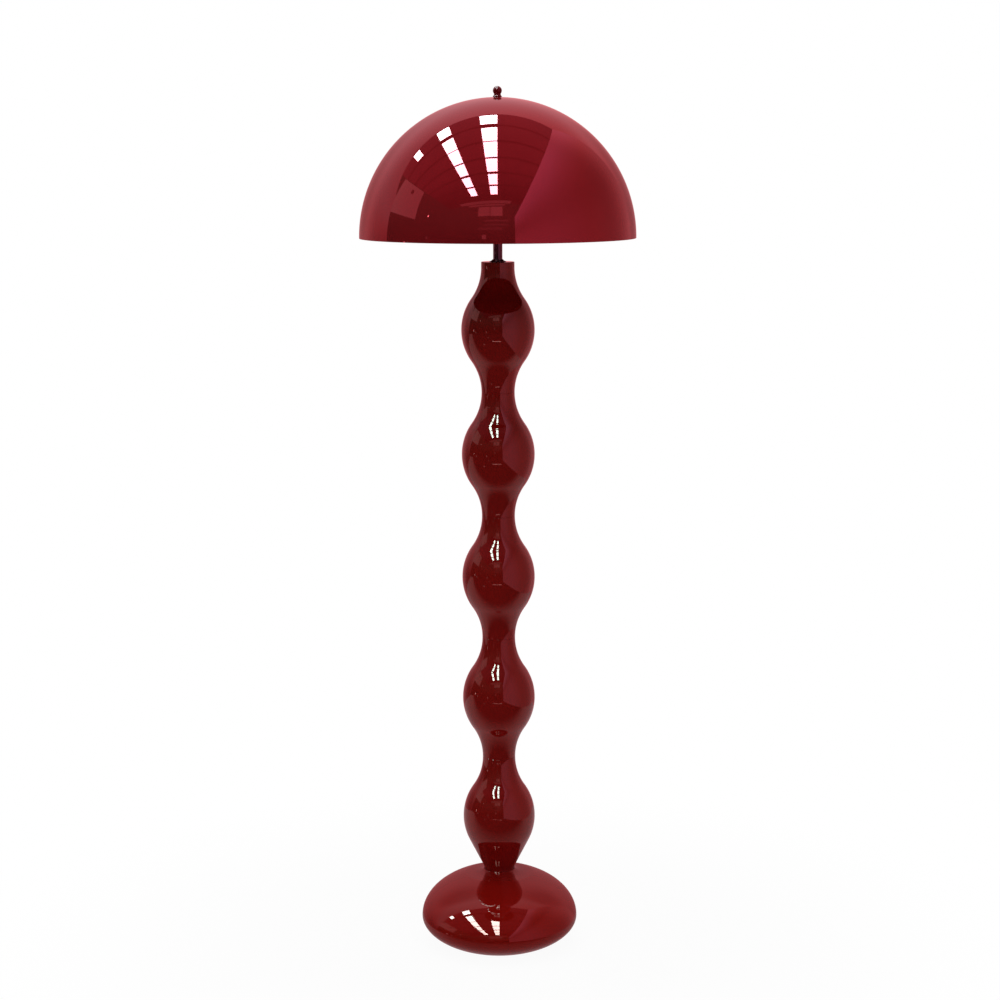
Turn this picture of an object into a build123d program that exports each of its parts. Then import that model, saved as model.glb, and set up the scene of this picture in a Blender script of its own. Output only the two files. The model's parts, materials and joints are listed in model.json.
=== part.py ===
from build123d import *
import math
import os

# Floor lamp: a dome shade on a column of five turned bulbs, standing on a pebble-shaped weighted base.
# Millimetres, +Z up. The origin is on the floor under the lamp's axis. The front faces -Y, the cord gland +Y.

# General clearances
FIT = 0.1
EDGE_TOLERANCE = 0.02
RUNNING_GAP = 0.3

# Pebble base
BASE_RADIUS = 131.0
BASE_BELLY_HEIGHT = 47.5
BASE_UPPER_RISE = 81.6
BASE_LOWER_DROP = 58.0
BASE_RIM_LIFT = 1.0
BASE_WALL = 6.0
COLLAR_RADIUS = 26.4
COLLAR_RISE = -0.4
HOLLOW_RADIUS = 58.0
HOLLOW_SLOPE = 60.0
HOLLOW_OUTER_PULL = 7.0
HOLLOW_INNER_PULL = 8.0
BOSS_RADIUS = 24.0
PAD_THICKNESS = 3.0
PAD_INSET = 1.0
PLATE_RADIUS = 72.0
PLATE_THICKNESS = 3.0
PLATE_CLEARANCE = 0.4
LEDGE_THICKNESS = 10.0
PLATE_SCREW_COUNT = 4
PLATE_SCREW_ANGLE = 45.0
PLATE_SCREW_RADIUS = 2.0
PLATE_SCREW_HEAD_RADIUS = 3.6
PLATE_SCREW_EDGE = 0.4
PLATE_SCREW_HEAD_HEIGHT = 1.6
PLATE_SCREW_LENGTH = 8.0
BALLAST_CLEARANCE = 2.0
BALLAST_HEIGHT = 86.0
NUT_POCKET_RADIUS = 16.0
NUT_POCKET_DEPTH = 38.0
CABLE_SLOT_WIDTH = 12.0

# Cord gland at the back of the base
GLAND_HEIGHT = 36.0
GLAND_BODY_RADIUS = 6.0
GLAND_BORE_RADIUS = 3.75
GLAND_FLANGE_RADIUS = 9.0
GLAND_SNAP_RADIUS = 7.2
GLAND_LIP = 2.0
GLAND_NOSE = 3.6
GLAND_LENGTH = 20.0

# Column of turned bulbs
BULB_COUNT = 5
BULB_RADIUS = 60.1
NECK_RADIUS = 27.2
BULB_PITCH = 205.1
FIRST_BULB_RISE = 92.8
FOOT_RADIUS = 26.0
FOOT_LAND = 5.0
TOP_NECK_LENGTH = 8.5
COLUMN_WALL = 6.0
CAVITY_END_RADIUS = 12.0
SPIGOT_RADIUS = 14.0
SPIGOT_HEIGHT = 5.0
SEAM_BREAK = 0.3
TOP_POCKET_RADIUS = 11.5
TOP_POCKET_DEPTH = 14.0

# Tie tube and its nuts
TIE_RADIUS = 5.0
TIE_BORE = 3.6
TIE_END = 2.0
TIE_OVERLAP = 14.0
NUT_ACROSS_FLATS = 17.0
NUT_HEIGHT = 8.0
WASHER_THICKNESS = 2.0
TIE_WASHER_RADIUS = 14.0

# Stem, cluster of lampholders and its arms
STEM_RADIUS = 7.6
STEM_COLLAR_RADIUS = 13.6
STEM_COLLAR_HEIGHT = 4.0
STEM_COLLAR_WALL = 0.8
HUB_LIFT = 8.6
HUB_RADIUS = 22.0
HUB_HEIGHT = 24.0
HUB_WALL = 3.0
HUB_COVER_HEIGHT = 8.0
HUB_COVER_EDGE = 1.5
SET_SCREW_RADIUS = 2.0
SET_SCREW_SLOT = 0.7
LAMP_COUNT = 3
FIRST_LAMP_ANGLE = 90.0
LAMP_CIRCLE = 62.0
ARM_RADIUS = 5.0
ARM_BORE = 3.4
ARM_BEND = 14.0
ARM_ENTRY = 6.0
HOLDER_LIFT = 16.0
LEAD_RADIUS = 1.5
CABLE_RADIUS = 2.5
CABLE_LEVEL = 22.0
CABLE_BEND = 12.0
CABLE_EXIT_BEND = 6.0
CABLE_TAIL = 14.0
CABLE_HOLE_RADIUS = 3.2

# Terminal block in the base
TERMINAL_LENGTH = 20.0
TERMINAL_DEPTH = 12.0
TERMINAL_HEIGHT = 14.0
TERMINAL_START = 14.0
TERMINAL_WELL_RADIUS = 2.4
TERMINAL_WELL_DEPTH = 3.5

# Lampholder, E27 size
HOLDER_CAP_HEIGHT = 18.0
HOLDER_CAP_NECK = 7.5
HOLDER_NECK_HEIGHT = 5.0
HOLDER_RADIUS = 20.0
HOLDER_BODY_HEIGHT = 32.0
HOLDER_SOCKET_RADIUS = 14.0
HOLDER_WALL = 3.0
HOLDER_RIM_EDGE = 3.0
HOLDER_SHOULDER_DIRECTIONS = [(1.0, 0.4), (0.2, 1.0)]
CONTACT_RADIUS = 15.8
CONTACT_THICKNESS = 6.0
CONTACT_BOSS_RADIUS = 4.0
CONTACT_BOSS_HEIGHT = 2.0

# Light bulb, 60 mm globe on an E27 screw cap
CAP_RADIUS = 13.0
CAP_WALL = 1.0
CAP_LENGTH = 19.0
THREAD_PITCH = 3.63
THREAD_DEPTH = 0.8
THREAD_TURNS = 4
THREAD_START = 2.5
THREAD_CREST_WIDTH = 2.4
TIP_RADIUS = 4.5
TIP_HEIGHT = 1.8
INSULATOR_HEIGHT = 5.0
INSULATOR_PLUG = 3.0
GLOBE_RADIUS = 30.0
GLOBE_WALL = 1.0
GLOBE_NECK_DEPTH = 4.0
GLOBE_CENTRE_RISE = 52.0
GLOBE_FLARE = 1.4
GLOBE_FLARE_DIRECTIONS = [(0.1, 1.0), (0.0, 1.0)]

# Dome shade, its seat and the finial
SHADE_RADIUS = 225.0
SHADE_WALL = 1.0
SHADE_SKIRT = 0.6
SHADE_LIFT = 38.4
RIM_BEAD_RADIUS = 1.3
STUD_RADIUS = 3.0
STUD_ENGAGEMENT = 20.0
STUD_TOP_RISE = 12.0
SEAT_RADIUS = 18.0
SEAT_THICKNESS = 3.0
SEAT_HUB_RADIUS = 9.0
SEAT_HUB_HEIGHT = 8.0
SEAT_WASHER_THICKNESS = 1.5
FINIAL_BALL_RADIUS = 7.3
FINIAL_BALL_RISE = 9.8
FINIAL_WAIST_RADIUS = 5.4
FINIAL_FOOT_RADIUS = 7.3
FINIAL_FOOT_EDGE = 1.2
FINIAL_SWEEP_DIRECTIONS = [(-1.0, 0.7), (0.0, 1.0)]
INSERT_RADIUS = 4.0
INSERT_HEIGHT = 11.0
INSERT_SINK = 0.8

# The opening leaves a ledge that is just wide enough for the plate's screw heads
OPENING_RADIUS = PLATE_RADIUS - 2 * (PLATE_SCREW_HEAD_RADIUS + PLATE_SCREW_EDGE)

# Heights along the axis, worked out from the sizes above
plate_low = PAD_THICKNESS
plate_top = plate_low + PLATE_THICKNESS
ledge_top = plate_top + LEDGE_THICKNESS
ballast_top = plate_top + BALLAST_HEIGHT
nut_pocket_top = plate_top + NUT_POCKET_DEPTH
tie_low = nut_pocket_top - WASHER_THICKNESS - NUT_HEIGHT - TIE_END
collar_top = BASE_BELLY_HEIGHT + BASE_UPPER_RISE + COLLAR_RISE
first_bulb = collar_top + FIRST_BULB_RISE
last_bulb = first_bulb + (BULB_COUNT - 1) * BULB_PITCH
column_top = last_bulb + BULB_PITCH / 2 + TOP_NECK_LENGTH
top_pocket_floor = column_top - TOP_POCKET_DEPTH
stem_low = top_pocket_floor + WASHER_THICKNESS + NUT_HEIGHT
tie_top = stem_low + TIE_OVERLAP
rim_height = column_top + SHADE_LIFT
dome_centre = rim_height + SHADE_SKIRT
crown_height = dome_centre + SHADE_RADIUS
crown_inside = crown_height - SHADE_WALL
seat_drop = (SHADE_RADIUS - SHADE_WALL) - math.sqrt((SHADE_RADIUS - SHADE_WALL) ** 2 - SEAT_RADIUS ** 2)
seat_washer_top = crown_inside - seat_drop - RUNNING_GAP
seat_top = seat_washer_top - SEAT_WASHER_THICKNESS
stem_top = seat_top - SEAT_THICKNESS - SEAT_HUB_HEIGHT
hub_low = rim_height + HUB_LIFT
hub_top = hub_low + HUB_HEIGHT
arm_height = hub_low + HUB_HEIGHT / 2
holder_low = arm_height + HOLDER_LIFT
holder_joint = holder_low + HOLDER_CAP_HEIGHT
holder_top = holder_joint + HOLDER_BODY_HEIGHT
contact_top = holder_joint + CONTACT_THICKNESS
tip_low = contact_top + CONTACT_BOSS_HEIGHT + RUNNING_GAP
cap_low = tip_low + TIP_HEIGHT + INSULATOR_HEIGHT
cap_top = cap_low + CAP_LENGTH
finial_low = crown_height + RUNNING_GAP
arc_radius = ((BULB_RADIUS - NECK_RADIUS) ** 2 + (BULB_PITCH / 2) ** 2) / (4 * (BULB_RADIUS - NECK_RADIUS))
arc_angle = math.degrees(math.asin(BULB_PITCH / 4 / arc_radius))
arc_centre = BULB_RADIUS - arc_radius
stem_bore = TIE_RADIUS + FIT
lamp_angles = [FIRST_LAMP_ANGLE + lamp * 360.0 / LAMP_COUNT for lamp in range(LAMP_COUNT)]

STANDING = (Align.CENTER, Align.CENTER, Align.MIN)


def turned(*edges):
    """Solid of revolution about the axis from a closed outline of (radius, height) edges."""
    return revolve(Plane.XZ * make_face(list(edges)), Axis.Z)


def outline(*points):
    """Closed straight-sided outline of (radius, height) points, turned about the axis."""
    return turned(*Polyline(*points, close=True).edges())


def post(radius, low, high):
    """Upright cylinder on the axis."""
    return Pos(0, 0, low) * Cylinder(radius, high - low, align=STANDING)


def ring(outer, inner, low, high):
    """Upright tube or washer on the axis."""
    return post(outer, low, high) - post(inner, low, high)


def rod_along_y(radius, start, end, height):
    """Level cylinder towards the back of the lamp."""
    return Pos(0, start, height) * Rot(-90, 0, 0) * Cylinder(radius, end - start, align=STANDING)


def circle_edges(solid, radius, low, high):
    """Edges that run round the axis at a radius, between two heights."""
    found = []
    for edge in solid.edges():
        box = edge.bounding_box()
        if abs(box.size.X - 2 * radius) < EDGE_TOLERANCE and box.min.Z > low and box.max.Z < high:
            found.append(edge)
    return found


def pebble(growth):
    """Whole pebble body: two half ellipses of one radius, grown or shrunk all round."""
    radius = BASE_RADIUS + growth
    upper = BASE_UPPER_RISE + growth
    lower = BASE_LOWER_DROP + growth
    centre = (0, BASE_BELLY_HEIGHT)
    return turned(
        EllipticalCenterArc(centre, radius, upper, start_angle=0, arc_size=90),
        Line((0, BASE_BELLY_HEIGHT + upper), (0, BASE_BELLY_HEIGHT - lower)),
        EllipticalCenterArc(centre, radius, lower, start_angle=270, arc_size=90),
    )


def base_body():
    """Pebble whose top runs up in a soft hollow to the collar that the column stands on."""
    centre = (0, BASE_BELLY_HEIGHT)
    touch = math.degrees(math.acos(HOLLOW_RADIUS / BASE_RADIUS))
    upper = EllipticalCenterArc(centre, BASE_RADIUS, BASE_UPPER_RISE, start_angle=0, arc_size=touch)
    start = upper @ 1
    lean = math.radians(HOLLOW_SLOPE)
    collar = Vector(COLLAR_RADIUS, collar_top)
    pull = Vector(math.cos(lean), -math.sin(lean)) * HOLLOW_INNER_PULL
    hollow = Bezier(start, start + (upper % 1) * HOLLOW_OUTER_PULL, collar + pull, collar)
    bottom = BASE_BELLY_HEIGHT - BASE_LOWER_DROP
    return turned(
        upper,
        hollow,
        Polyline((COLLAR_RADIUS, collar_top), (0, collar_top), (0, bottom)),
        EllipticalCenterArc(centre, BASE_RADIUS, BASE_LOWER_DROP, start_angle=270, arc_size=90),
    )


def plate_screw_places():
    """Upright places of the screws that hold the plate to the ledge."""
    circle = (OPENING_RADIUS + PLATE_RADIUS) / 2
    return PolarLocations(circle, PLATE_SCREW_COUNT, start_angle=PLATE_SCREW_ANGLE)


def make_base_shell():
    """Hollow pebble with a collar for the column, a core boss, a ledge for the plate and a gland hole."""
    body = base_body() & post(BASE_RADIUS + BASE_WALL, BASE_RIM_LIFT, collar_top)
    hollow = pebble(-BASE_WALL) & post(BASE_RADIUS, ledge_top, collar_top)
    hollow = hollow - post(BOSS_RADIUS, ballast_top, collar_top)
    body = body - hollow
    body = body - post(OPENING_RADIUS, 0, ledge_top)
    body = body - post(PLATE_RADIUS + PLATE_CLEARANCE, 0, plate_top)
    body = body - post(TIE_RADIUS + RUNNING_GAP, ballast_top, collar_top)
    body = body - rod_along_y(GLAND_BODY_RADIUS + FIT, BASE_RADIUS / 2, BASE_RADIUS * 2, GLAND_HEIGHT)
    body = body + ring(SPIGOT_RADIUS, TIE_RADIUS + RUNNING_GAP, collar_top, collar_top + SPIGOT_HEIGHT)
    screw_hole = post(PLATE_SCREW_RADIUS + FIT, plate_low, plate_low + PLATE_SCREW_LENGTH + RUNNING_GAP)
    return body - plate_screw_places() * screw_hole


def make_base_plate():
    """Steel cover plate with countersunk screw holes."""
    plate = post(PLATE_RADIUS, plate_low, plate_top)
    return plate - plate_screw_places() * make_screw(FIT)


def make_screw(growth):
    """Countersunk screw on the axis, or the hole that takes it when grown."""
    shank = PLATE_SCREW_RADIUS + growth
    head = PLATE_SCREW_HEAD_RADIUS + growth
    tip = plate_low + PLATE_SCREW_LENGTH
    neck = plate_low + PLATE_SCREW_HEAD_HEIGHT + growth
    return outline((0, plate_low), (head, plate_low), (shank, neck), (shank, tip), (0, tip))


def make_plate_screws():
    """The plate's screws, alike."""
    return Compound(children=plate_screw_places() * make_screw(0))


def make_foot_pad():
    """Rubber disc under the plate, which the lamp stands on."""
    return post(PLATE_RADIUS - PAD_INSET, 0, plate_low)


def make_ballast():
    """Cast-iron weight with a nut pocket and a radial slot for the cable."""
    radius = OPENING_RADIUS - BALLAST_CLEARANCE
    weight = ring(radius, TIE_RADIUS + RUNNING_GAP, plate_top, ballast_top)
    weight = weight - post(NUT_POCKET_RADIUS, plate_top, nut_pocket_top)
    slot_height = 2 * (CABLE_LEVEL - plate_top)
    slot = Box(CABLE_SLOT_WIDTH, radius, slot_height, align=(Align.CENTER, Align.MIN, Align.MIN))
    return weight - Pos(0, 0, plate_top) * slot


def make_cord_gland():
    """Rubber gland that grips the base wall between two lips shaped to it, with a bore for the cord."""
    level = math.sqrt(1 - ((BASE_BELLY_HEIGHT - GLAND_HEIGHT) / BASE_LOWER_DROP) ** 2)
    nose = BASE_RADIUS * level + GLAND_NOSE
    start = nose - GLAND_LENGTH
    gland = rod_along_y(GLAND_BODY_RADIUS, start, nose, GLAND_HEIGHT)
    flange = rod_along_y(GLAND_FLANGE_RADIUS, start, nose, GLAND_HEIGHT) & pebble(GLAND_LIP)
    gland = gland + (flange - pebble(0))
    snap = rod_along_y(GLAND_SNAP_RADIUS, start, nose, GLAND_HEIGHT) & pebble(-BASE_WALL)
    gland = gland + (snap - pebble(-BASE_WALL - GLAND_LIP))
    return gland - rod_along_y(GLAND_BORE_RADIUS, start, nose, GLAND_HEIGHT)


def terminal_centre():
    """Distance of the terminal block's middle behind the axis, on the ledge."""
    return OPENING_RADIUS + TERMINAL_DEPTH


def make_terminal_block():
    """Screw terminal block on the ledge, with two wire wells on top."""
    size = (TERMINAL_LENGTH, TERMINAL_DEPTH, TERMINAL_HEIGHT)
    block = Box(*size, align=(Align.MIN, Align.CENTER, Align.MIN))
    well = Pos(0, 0, TERMINAL_HEIGHT) * Cylinder(TERMINAL_WELL_RADIUS, 2 * TERMINAL_WELL_DEPTH)
    quarter = TERMINAL_LENGTH / 4
    block = block - Pos(quarter, 0, 0) * well - Pos(3 * quarter, 0, 0) * well
    return Pos(TERMINAL_START, terminal_centre(), ledge_top) * block


def hex_nut(low):
    """Hexagon nut on the axis."""
    flats = RegularPolygon(NUT_ACROSS_FLATS / 2, 6, major_radius=False)
    nut = Pos(0, 0, low) * extrude(flats, NUT_HEIGHT)
    return nut - post(TIE_RADIUS + FIT, low, low + NUT_HEIGHT)


def make_tie_tube():
    """Steel lamp pipe that clamps base and column together and carries the cable."""
    return ring(TIE_RADIUS, TIE_BORE, tie_low, tie_top)


def make_tie_washer():
    """Washer under the ballast, above the lower nut."""
    return ring(TIE_WASHER_RADIUS, TIE_RADIUS + FIT, nut_pocket_top - WASHER_THICKNESS, nut_pocket_top)


def make_column_bulb(number):
    """One hollow turned bulb of the column, from neck to neck. Number 1 is the lowest."""
    centre = first_bulb + (number - 1) * BULB_PITCH
    half = BULB_PITCH / 2
    lowest = number == 1
    highest = number == BULB_COUNT
    top = centre + half + (TOP_NECK_LENGTH if highest else 0)
    edges = [
        CenterArc((arc_centre, centre), arc_radius, 0, arc_angle),
        CenterArc((NECK_RADIUS + arc_radius, centre + half), arc_radius, 180, arc_angle),
    ]
    if lowest:
        low = collar_top
        land = low + FOOT_LAND
        reach = math.hypot(FOOT_RADIUS - arc_centre, centre - land)
        sight = math.degrees(math.atan2(centre - land, FOOT_RADIUS - arc_centre))
        slope = sight - math.degrees(math.acos(arc_radius / reach))
        touch = CenterArc((arc_centre, centre), arc_radius, -slope, slope)
        foot = Polyline((FOOT_RADIUS, land), (FOOT_RADIUS, low), (0, low))
        edges += [touch, Line(touch @ 0, (FOOT_RADIUS, land)), foot]
    else:
        low = centre - half
        edges += [
            CenterArc((arc_centre, centre), arc_radius, -arc_angle, arc_angle),
            CenterArc((NECK_RADIUS + arc_radius, low), arc_radius, 180 - arc_angle, arc_angle),
            Line((NECK_RADIUS, low), (0, low)),
        ]
    if highest:
        edges.append(Line((NECK_RADIUS, centre + half), (NECK_RADIUS, top)))
    edges += [Line((NECK_RADIUS, top), (0, top)), Line((0, top), (0, low))]
    bulb = turned(*edges)
    ends = circle_edges(bulb, NECK_RADIUS, top - FIT, top + FIT)
    ends += circle_edges(bulb, FOOT_RADIUS if lowest else NECK_RADIUS, low - FIT, low + FIT)
    bulb = chamfer(ends, SEAM_BREAK)
    bulb = bulb - bulb_cavity(centre) - post(TIE_RADIUS + RUNNING_GAP, low, top + SPIGOT_HEIGHT)
    bulb = bulb - post(SPIGOT_RADIUS + FIT, low, low + SPIGOT_HEIGHT + FIT)
    if highest:
        return bulb - post(TOP_POCKET_RADIUS, top_pocket_floor, top)
    return bulb + ring(SPIGOT_RADIUS, TIE_RADIUS + RUNNING_GAP, top, top + SPIGOT_HEIGHT)


def bulb_cavity(centre):
    """Lens-shaped hollow of one bulb, a wall inside the bulb's own arc."""
    inner = arc_radius - COLUMN_WALL
    spread = math.degrees(math.acos((CAVITY_END_RADIUS - arc_centre) / inner))
    reach = inner * math.sin(math.radians(spread))
    return turned(
        CenterArc((arc_centre, centre), inner, -spread, 2 * spread),
        Polyline((CAVITY_END_RADIUS, centre + reach), (0, centre + reach), (0, centre - reach),
                 (CAVITY_END_RADIUS, centre - reach)),
    )


def make_top_washer():
    """Washer in the column's top pocket."""
    outer = TOP_POCKET_RADIUS - RUNNING_GAP
    return ring(outer, TIE_RADIUS + FIT, top_pocket_floor, top_pocket_floor + WASHER_THICKNESS)


def make_stem_tube():
    """Stem from the column to the shade's seat, with a side hole for the cable."""
    tube = ring(STEM_RADIUS, stem_bore, stem_low, stem_top)
    hole = Rot(0, 90, 0) * Cylinder(CABLE_HOLE_RADIUS, STEM_RADIUS * 2, align=STANDING)
    return tube - Pos(0, 0, arm_height) * hole


def make_stem_collar():
    """Conical ring that covers the pocket at the column's top."""
    inner = STEM_RADIUS + FIT
    top = column_top + STEM_COLLAR_HEIGHT
    return outline(
        (inner, column_top), (STEM_COLLAR_RADIUS, column_top), (inner + STEM_COLLAR_WALL, top), (inner, top)
    )


def lamp_place(angle):
    """Place on the lamp circle at an angle, with X pointing outwards."""
    return Rot(0, 0, angle)


def arm_path(start, end_height):
    """Level run from the hub, a bend, and a short rise into the lampholder."""
    points = [(start, 0, arm_height), (LAMP_CIRCLE, 0, arm_height), (LAMP_CIRCLE, 0, end_height)]
    return FilletPolyline(*points, radius=ARM_BEND)


def tube_along(path, outer):
    """Round bar swept along a path."""
    return sweep(Plane(origin=path @ 0, z_dir=path % 0) * Circle(outer), path=path)


def make_cluster_hub():
    """Cup on the stem that the arms screw into."""
    cup = ring(HUB_RADIUS, STEM_RADIUS + FIT, hub_low, hub_top)
    cup = cup - post(HUB_RADIUS - HUB_WALL, hub_low + HUB_WALL, hub_top)
    hole = Rot(0, 90, 0) * Cylinder(ARM_RADIUS + FIT, HUB_RADIUS * 2, align=STANDING)
    for angle in lamp_angles:
        cup = cup - Pos(0, 0, arm_height) * lamp_place(angle) * hole
    return cup


def make_hub_cover():
    """Lid of the hub with the set screw's hole."""
    top = hub_top + HUB_COVER_HEIGHT
    lid = ring(HUB_RADIUS, STEM_RADIUS + FIT, hub_top, top)
    lid = fillet(circle_edges(lid, HUB_RADIUS, top - FIT, top + FIT), HUB_COVER_EDGE)
    hole = rod_along_y(SET_SCREW_RADIUS + FIT, 0, HUB_RADIUS * 2, hub_top + HUB_COVER_HEIGHT / 2)
    return lid - hole


def make_hub_set_screw():
    """Slotted set screw that locks the hub on the stem."""
    level = hub_top + HUB_COVER_HEIGHT / 2
    end = HUB_RADIUS - HUB_COVER_EDGE
    screw = rod_along_y(SET_SCREW_RADIUS, STEM_RADIUS + RUNNING_GAP, end, level)
    slot = Box(2 * SET_SCREW_RADIUS, SET_SCREW_RADIUS, SET_SCREW_SLOT)
    return screw - Pos(0, end, level) * slot


def make_arm(angle):
    """Bent tube from the hub up into a lampholder."""
    path = arm_path(HUB_RADIUS - HUB_WALL, holder_low + ARM_ENTRY)
    return lamp_place(angle) * (tube_along(path, ARM_RADIUS) - tube_along(path, ARM_BORE))


def make_holder_leads():
    """The lead in each arm, from the hub's hollow to the lampholder's contact plate."""
    path = arm_path(STEM_RADIUS + LEAD_RADIUS, holder_joint)
    lead = tube_along(path, LEAD_RADIUS)
    return Compound(children=[lamp_place(angle) * lead for angle in lamp_angles])


def make_inner_cable():
    """Cable from the terminal block through the ballast's slot and the tie tube into the hub."""
    back = terminal_centre()
    path = FilletPolyline(
        (TERMINAL_START, back, CABLE_LEVEL), (0, back, CABLE_LEVEL), (0, 0, CABLE_LEVEL),
        (0, 0, arm_height), (CABLE_TAIL, 0, arm_height),
        radius=[CABLE_BEND, CABLE_BEND, CABLE_EXIT_BEND],
    )
    return tube_along(path, CABLE_RADIUS)


def on_lamp(angle, solid):
    """Carry a solid from the axis to one lamp's axis."""
    return lamp_place(angle) * Pos(LAMP_CIRCLE, 0, 0) * solid


def make_holder_cap(angle):
    """Lower half of a lampholder, a cup on the arm's end."""
    neck_top = holder_low + HOLDER_NECK_HEIGHT
    skirt = holder_joint - HOLDER_WALL
    entry_top = holder_low + ARM_ENTRY
    bore = ARM_RADIUS + FIT
    cup = turned(
        Polyline((0, holder_joint), (0, holder_low), (HOLDER_CAP_NECK, holder_low),
                 (HOLDER_CAP_NECK, neck_top)),
        Spline((HOLDER_CAP_NECK, neck_top), (HOLDER_RADIUS - HOLDER_WALL, skirt - HOLDER_WALL),
               (HOLDER_RADIUS, skirt), tangents=HOLDER_SHOULDER_DIRECTIONS),
        Polyline((HOLDER_RADIUS, skirt), (HOLDER_RADIUS, holder_joint), (0, holder_joint)),
    )
    inside = HOLDER_RADIUS - HOLDER_WALL
    hollow = outline((0, entry_top), (bore, entry_top), (inside - HOLDER_WALL, skirt), (inside, holder_joint),
                     (0, holder_joint))
    return on_lamp(angle, cup - hollow - post(bore, holder_low, entry_top))


def make_holder_body(angle):
    """Upper half of a lampholder, a sleeve round the bulb's screw cap."""
    sleeve = ring(HOLDER_RADIUS, HOLDER_SOCKET_RADIUS, holder_joint, holder_top)
    sleeve = sleeve - post(CONTACT_RADIUS + FIT, holder_joint, contact_top)
    rim = circle_edges(sleeve, HOLDER_RADIUS, holder_top - FIT, holder_top + FIT)
    return on_lamp(angle, fillet(rim, HOLDER_RIM_EDGE))


def make_holder_contact(angle):
    """Ceramic contact plate with its centre boss, held between the lampholder's halves."""
    plate = post(CONTACT_RADIUS, holder_joint + FIT, contact_top - FIT)
    boss = post(CONTACT_BOSS_RADIUS, contact_top - FIT, contact_top + CONTACT_BOSS_HEIGHT)
    return on_lamp(angle, plate + boss)


def make_bulb_cap(angle):
    """Screw cap of a light bulb: a thin sleeve with rolled thread crests."""
    sleeve = ring(CAP_RADIUS - THREAD_DEPTH, CAP_RADIUS - THREAD_DEPTH - CAP_WALL, cap_low, cap_top)
    for turn in range(THREAD_TURNS):
        crest = cap_low + THREAD_START + THREAD_PITCH * turn
        root = CAP_RADIUS - THREAD_DEPTH - CAP_WALL / 2
        rise = THREAD_CREST_WIDTH / 2
        sleeve = sleeve + turned(
            ThreePointArc((root, crest - rise), (CAP_RADIUS, crest), (root, crest + rise)),
            Line((root, crest + rise), (root, crest - rise)),
        )
    return on_lamp(angle, sleeve)


def make_bulb_contact(angle):
    """Tip contact and insulator under a light bulb's cap."""
    plug = CAP_RADIUS - THREAD_DEPTH - CAP_WALL - FIT
    neck = tip_low + TIP_HEIGHT
    plug_top = cap_low + INSULATOR_PLUG
    tip = outline((0, tip_low), (TIP_RADIUS, tip_low), (TIP_RADIUS, neck), (plug, cap_low), (plug, plug_top),
                  (0, plug_top))
    return on_lamp(angle, tip)


def globe_outline(radius, neck, low):
    """Outline of a light bulb's globe: straight neck, smooth flare and a round top."""
    centre = cap_top + GLOBE_CENTRE_RISE
    return turned(
        Polyline((0, low), (neck, low), (neck, cap_top)),
        Spline((neck, cap_top), (radius, centre), tangents=GLOBE_FLARE_DIRECTIONS,
               tangent_scalars=[GLOBE_FLARE, GLOBE_FLARE]),
        CenterArc((0, centre), radius, 0, 90),
        Line((0, centre + radius), (0, low)),
    )


def make_bulb_globe(angle):
    """Thin-walled globe of a light bulb, open where its neck enters the cap."""
    neck = CAP_RADIUS - THREAD_DEPTH - CAP_WALL - FIT
    low = cap_top - GLOBE_NECK_DEPTH
    globe = globe_outline(GLOBE_RADIUS, neck, low)
    hollow = globe_outline(GLOBE_RADIUS - GLOBE_WALL, neck - GLOBE_WALL, low)
    return on_lamp(angle, globe - hollow)


def make_shade():
    """Spun dome with a curled rim bead and a hole for the stud."""
    dome = turned(
        CenterArc((0, dome_centre), SHADE_RADIUS, 0, 90),
        Line((0, crown_height), (0, rim_height)),
        Polyline((0, rim_height), (SHADE_RADIUS, rim_height), (SHADE_RADIUS, dome_centre)),
    )
    inside = SHADE_RADIUS - SHADE_WALL
    hollow = turned(
        CenterArc((0, dome_centre), inside, 0, 90),
        Line((0, crown_inside), (0, rim_height)),
        Polyline((0, rim_height), (inside, rim_height), (inside, dome_centre)),
    )
    bead_place = Pos(0, 0, rim_height + RIM_BEAD_RADIUS)
    bead = bead_place * Torus(SHADE_RADIUS - SHADE_WALL / 2 - RIM_BEAD_RADIUS, RIM_BEAD_RADIUS)
    return dome - hollow + bead - post(STUD_RADIUS + RUNNING_GAP, dome_centre, crown_height)


def make_shade_seat():
    """Flanged collar at the stem's top that carries the shade."""
    flange_low = seat_top - SEAT_THICKNESS
    seat = ring(SEAT_HUB_RADIUS, STUD_RADIUS + FIT, stem_top, flange_low)
    return seat + ring(SEAT_RADIUS, STUD_RADIUS + FIT, flange_low, seat_top)


def make_seat_washer():
    """Soft washer between seat and shade."""
    return ring(SEAT_RADIUS, STUD_RADIUS + FIT, seat_top, seat_washer_top)


def make_shade_stud():
    """Stepped stud: a thick end in the stem and a thin end through seat, shade and finial."""
    stud_top = crown_height + STUD_TOP_RISE
    return post(TIE_RADIUS, stem_top - STUD_ENGAGEMENT, stem_top) + post(STUD_RADIUS, stem_top, stud_top)


def make_finial():
    """Turned knob: flared foot, waist and ball, bored for its threaded insert."""
    ball = finial_low + FINIAL_BALL_RISE
    lift = math.sqrt(FINIAL_BALL_RADIUS ** 2 - FINIAL_WAIST_RADIUS ** 2)
    under = math.degrees(math.asin(lift / FINIAL_BALL_RADIUS))
    edge = finial_low + FINIAL_FOOT_EDGE
    knob = turned(
        Polyline((0, ball + FINIAL_BALL_RADIUS), (0, finial_low), (FINIAL_FOOT_RADIUS, finial_low),
                 (FINIAL_FOOT_RADIUS, edge)),
        Spline((FINIAL_FOOT_RADIUS, edge), (FINIAL_WAIST_RADIUS, ball - lift),
               tangents=FINIAL_SWEEP_DIRECTIONS),
        CenterArc((0, ball), FINIAL_BALL_RADIUS, -under, 90 + under),
    )
    bored = finial_low + INSERT_SINK + INSERT_HEIGHT + FIT
    return knob - post(INSERT_RADIUS + FIT, finial_low, bored)


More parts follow.
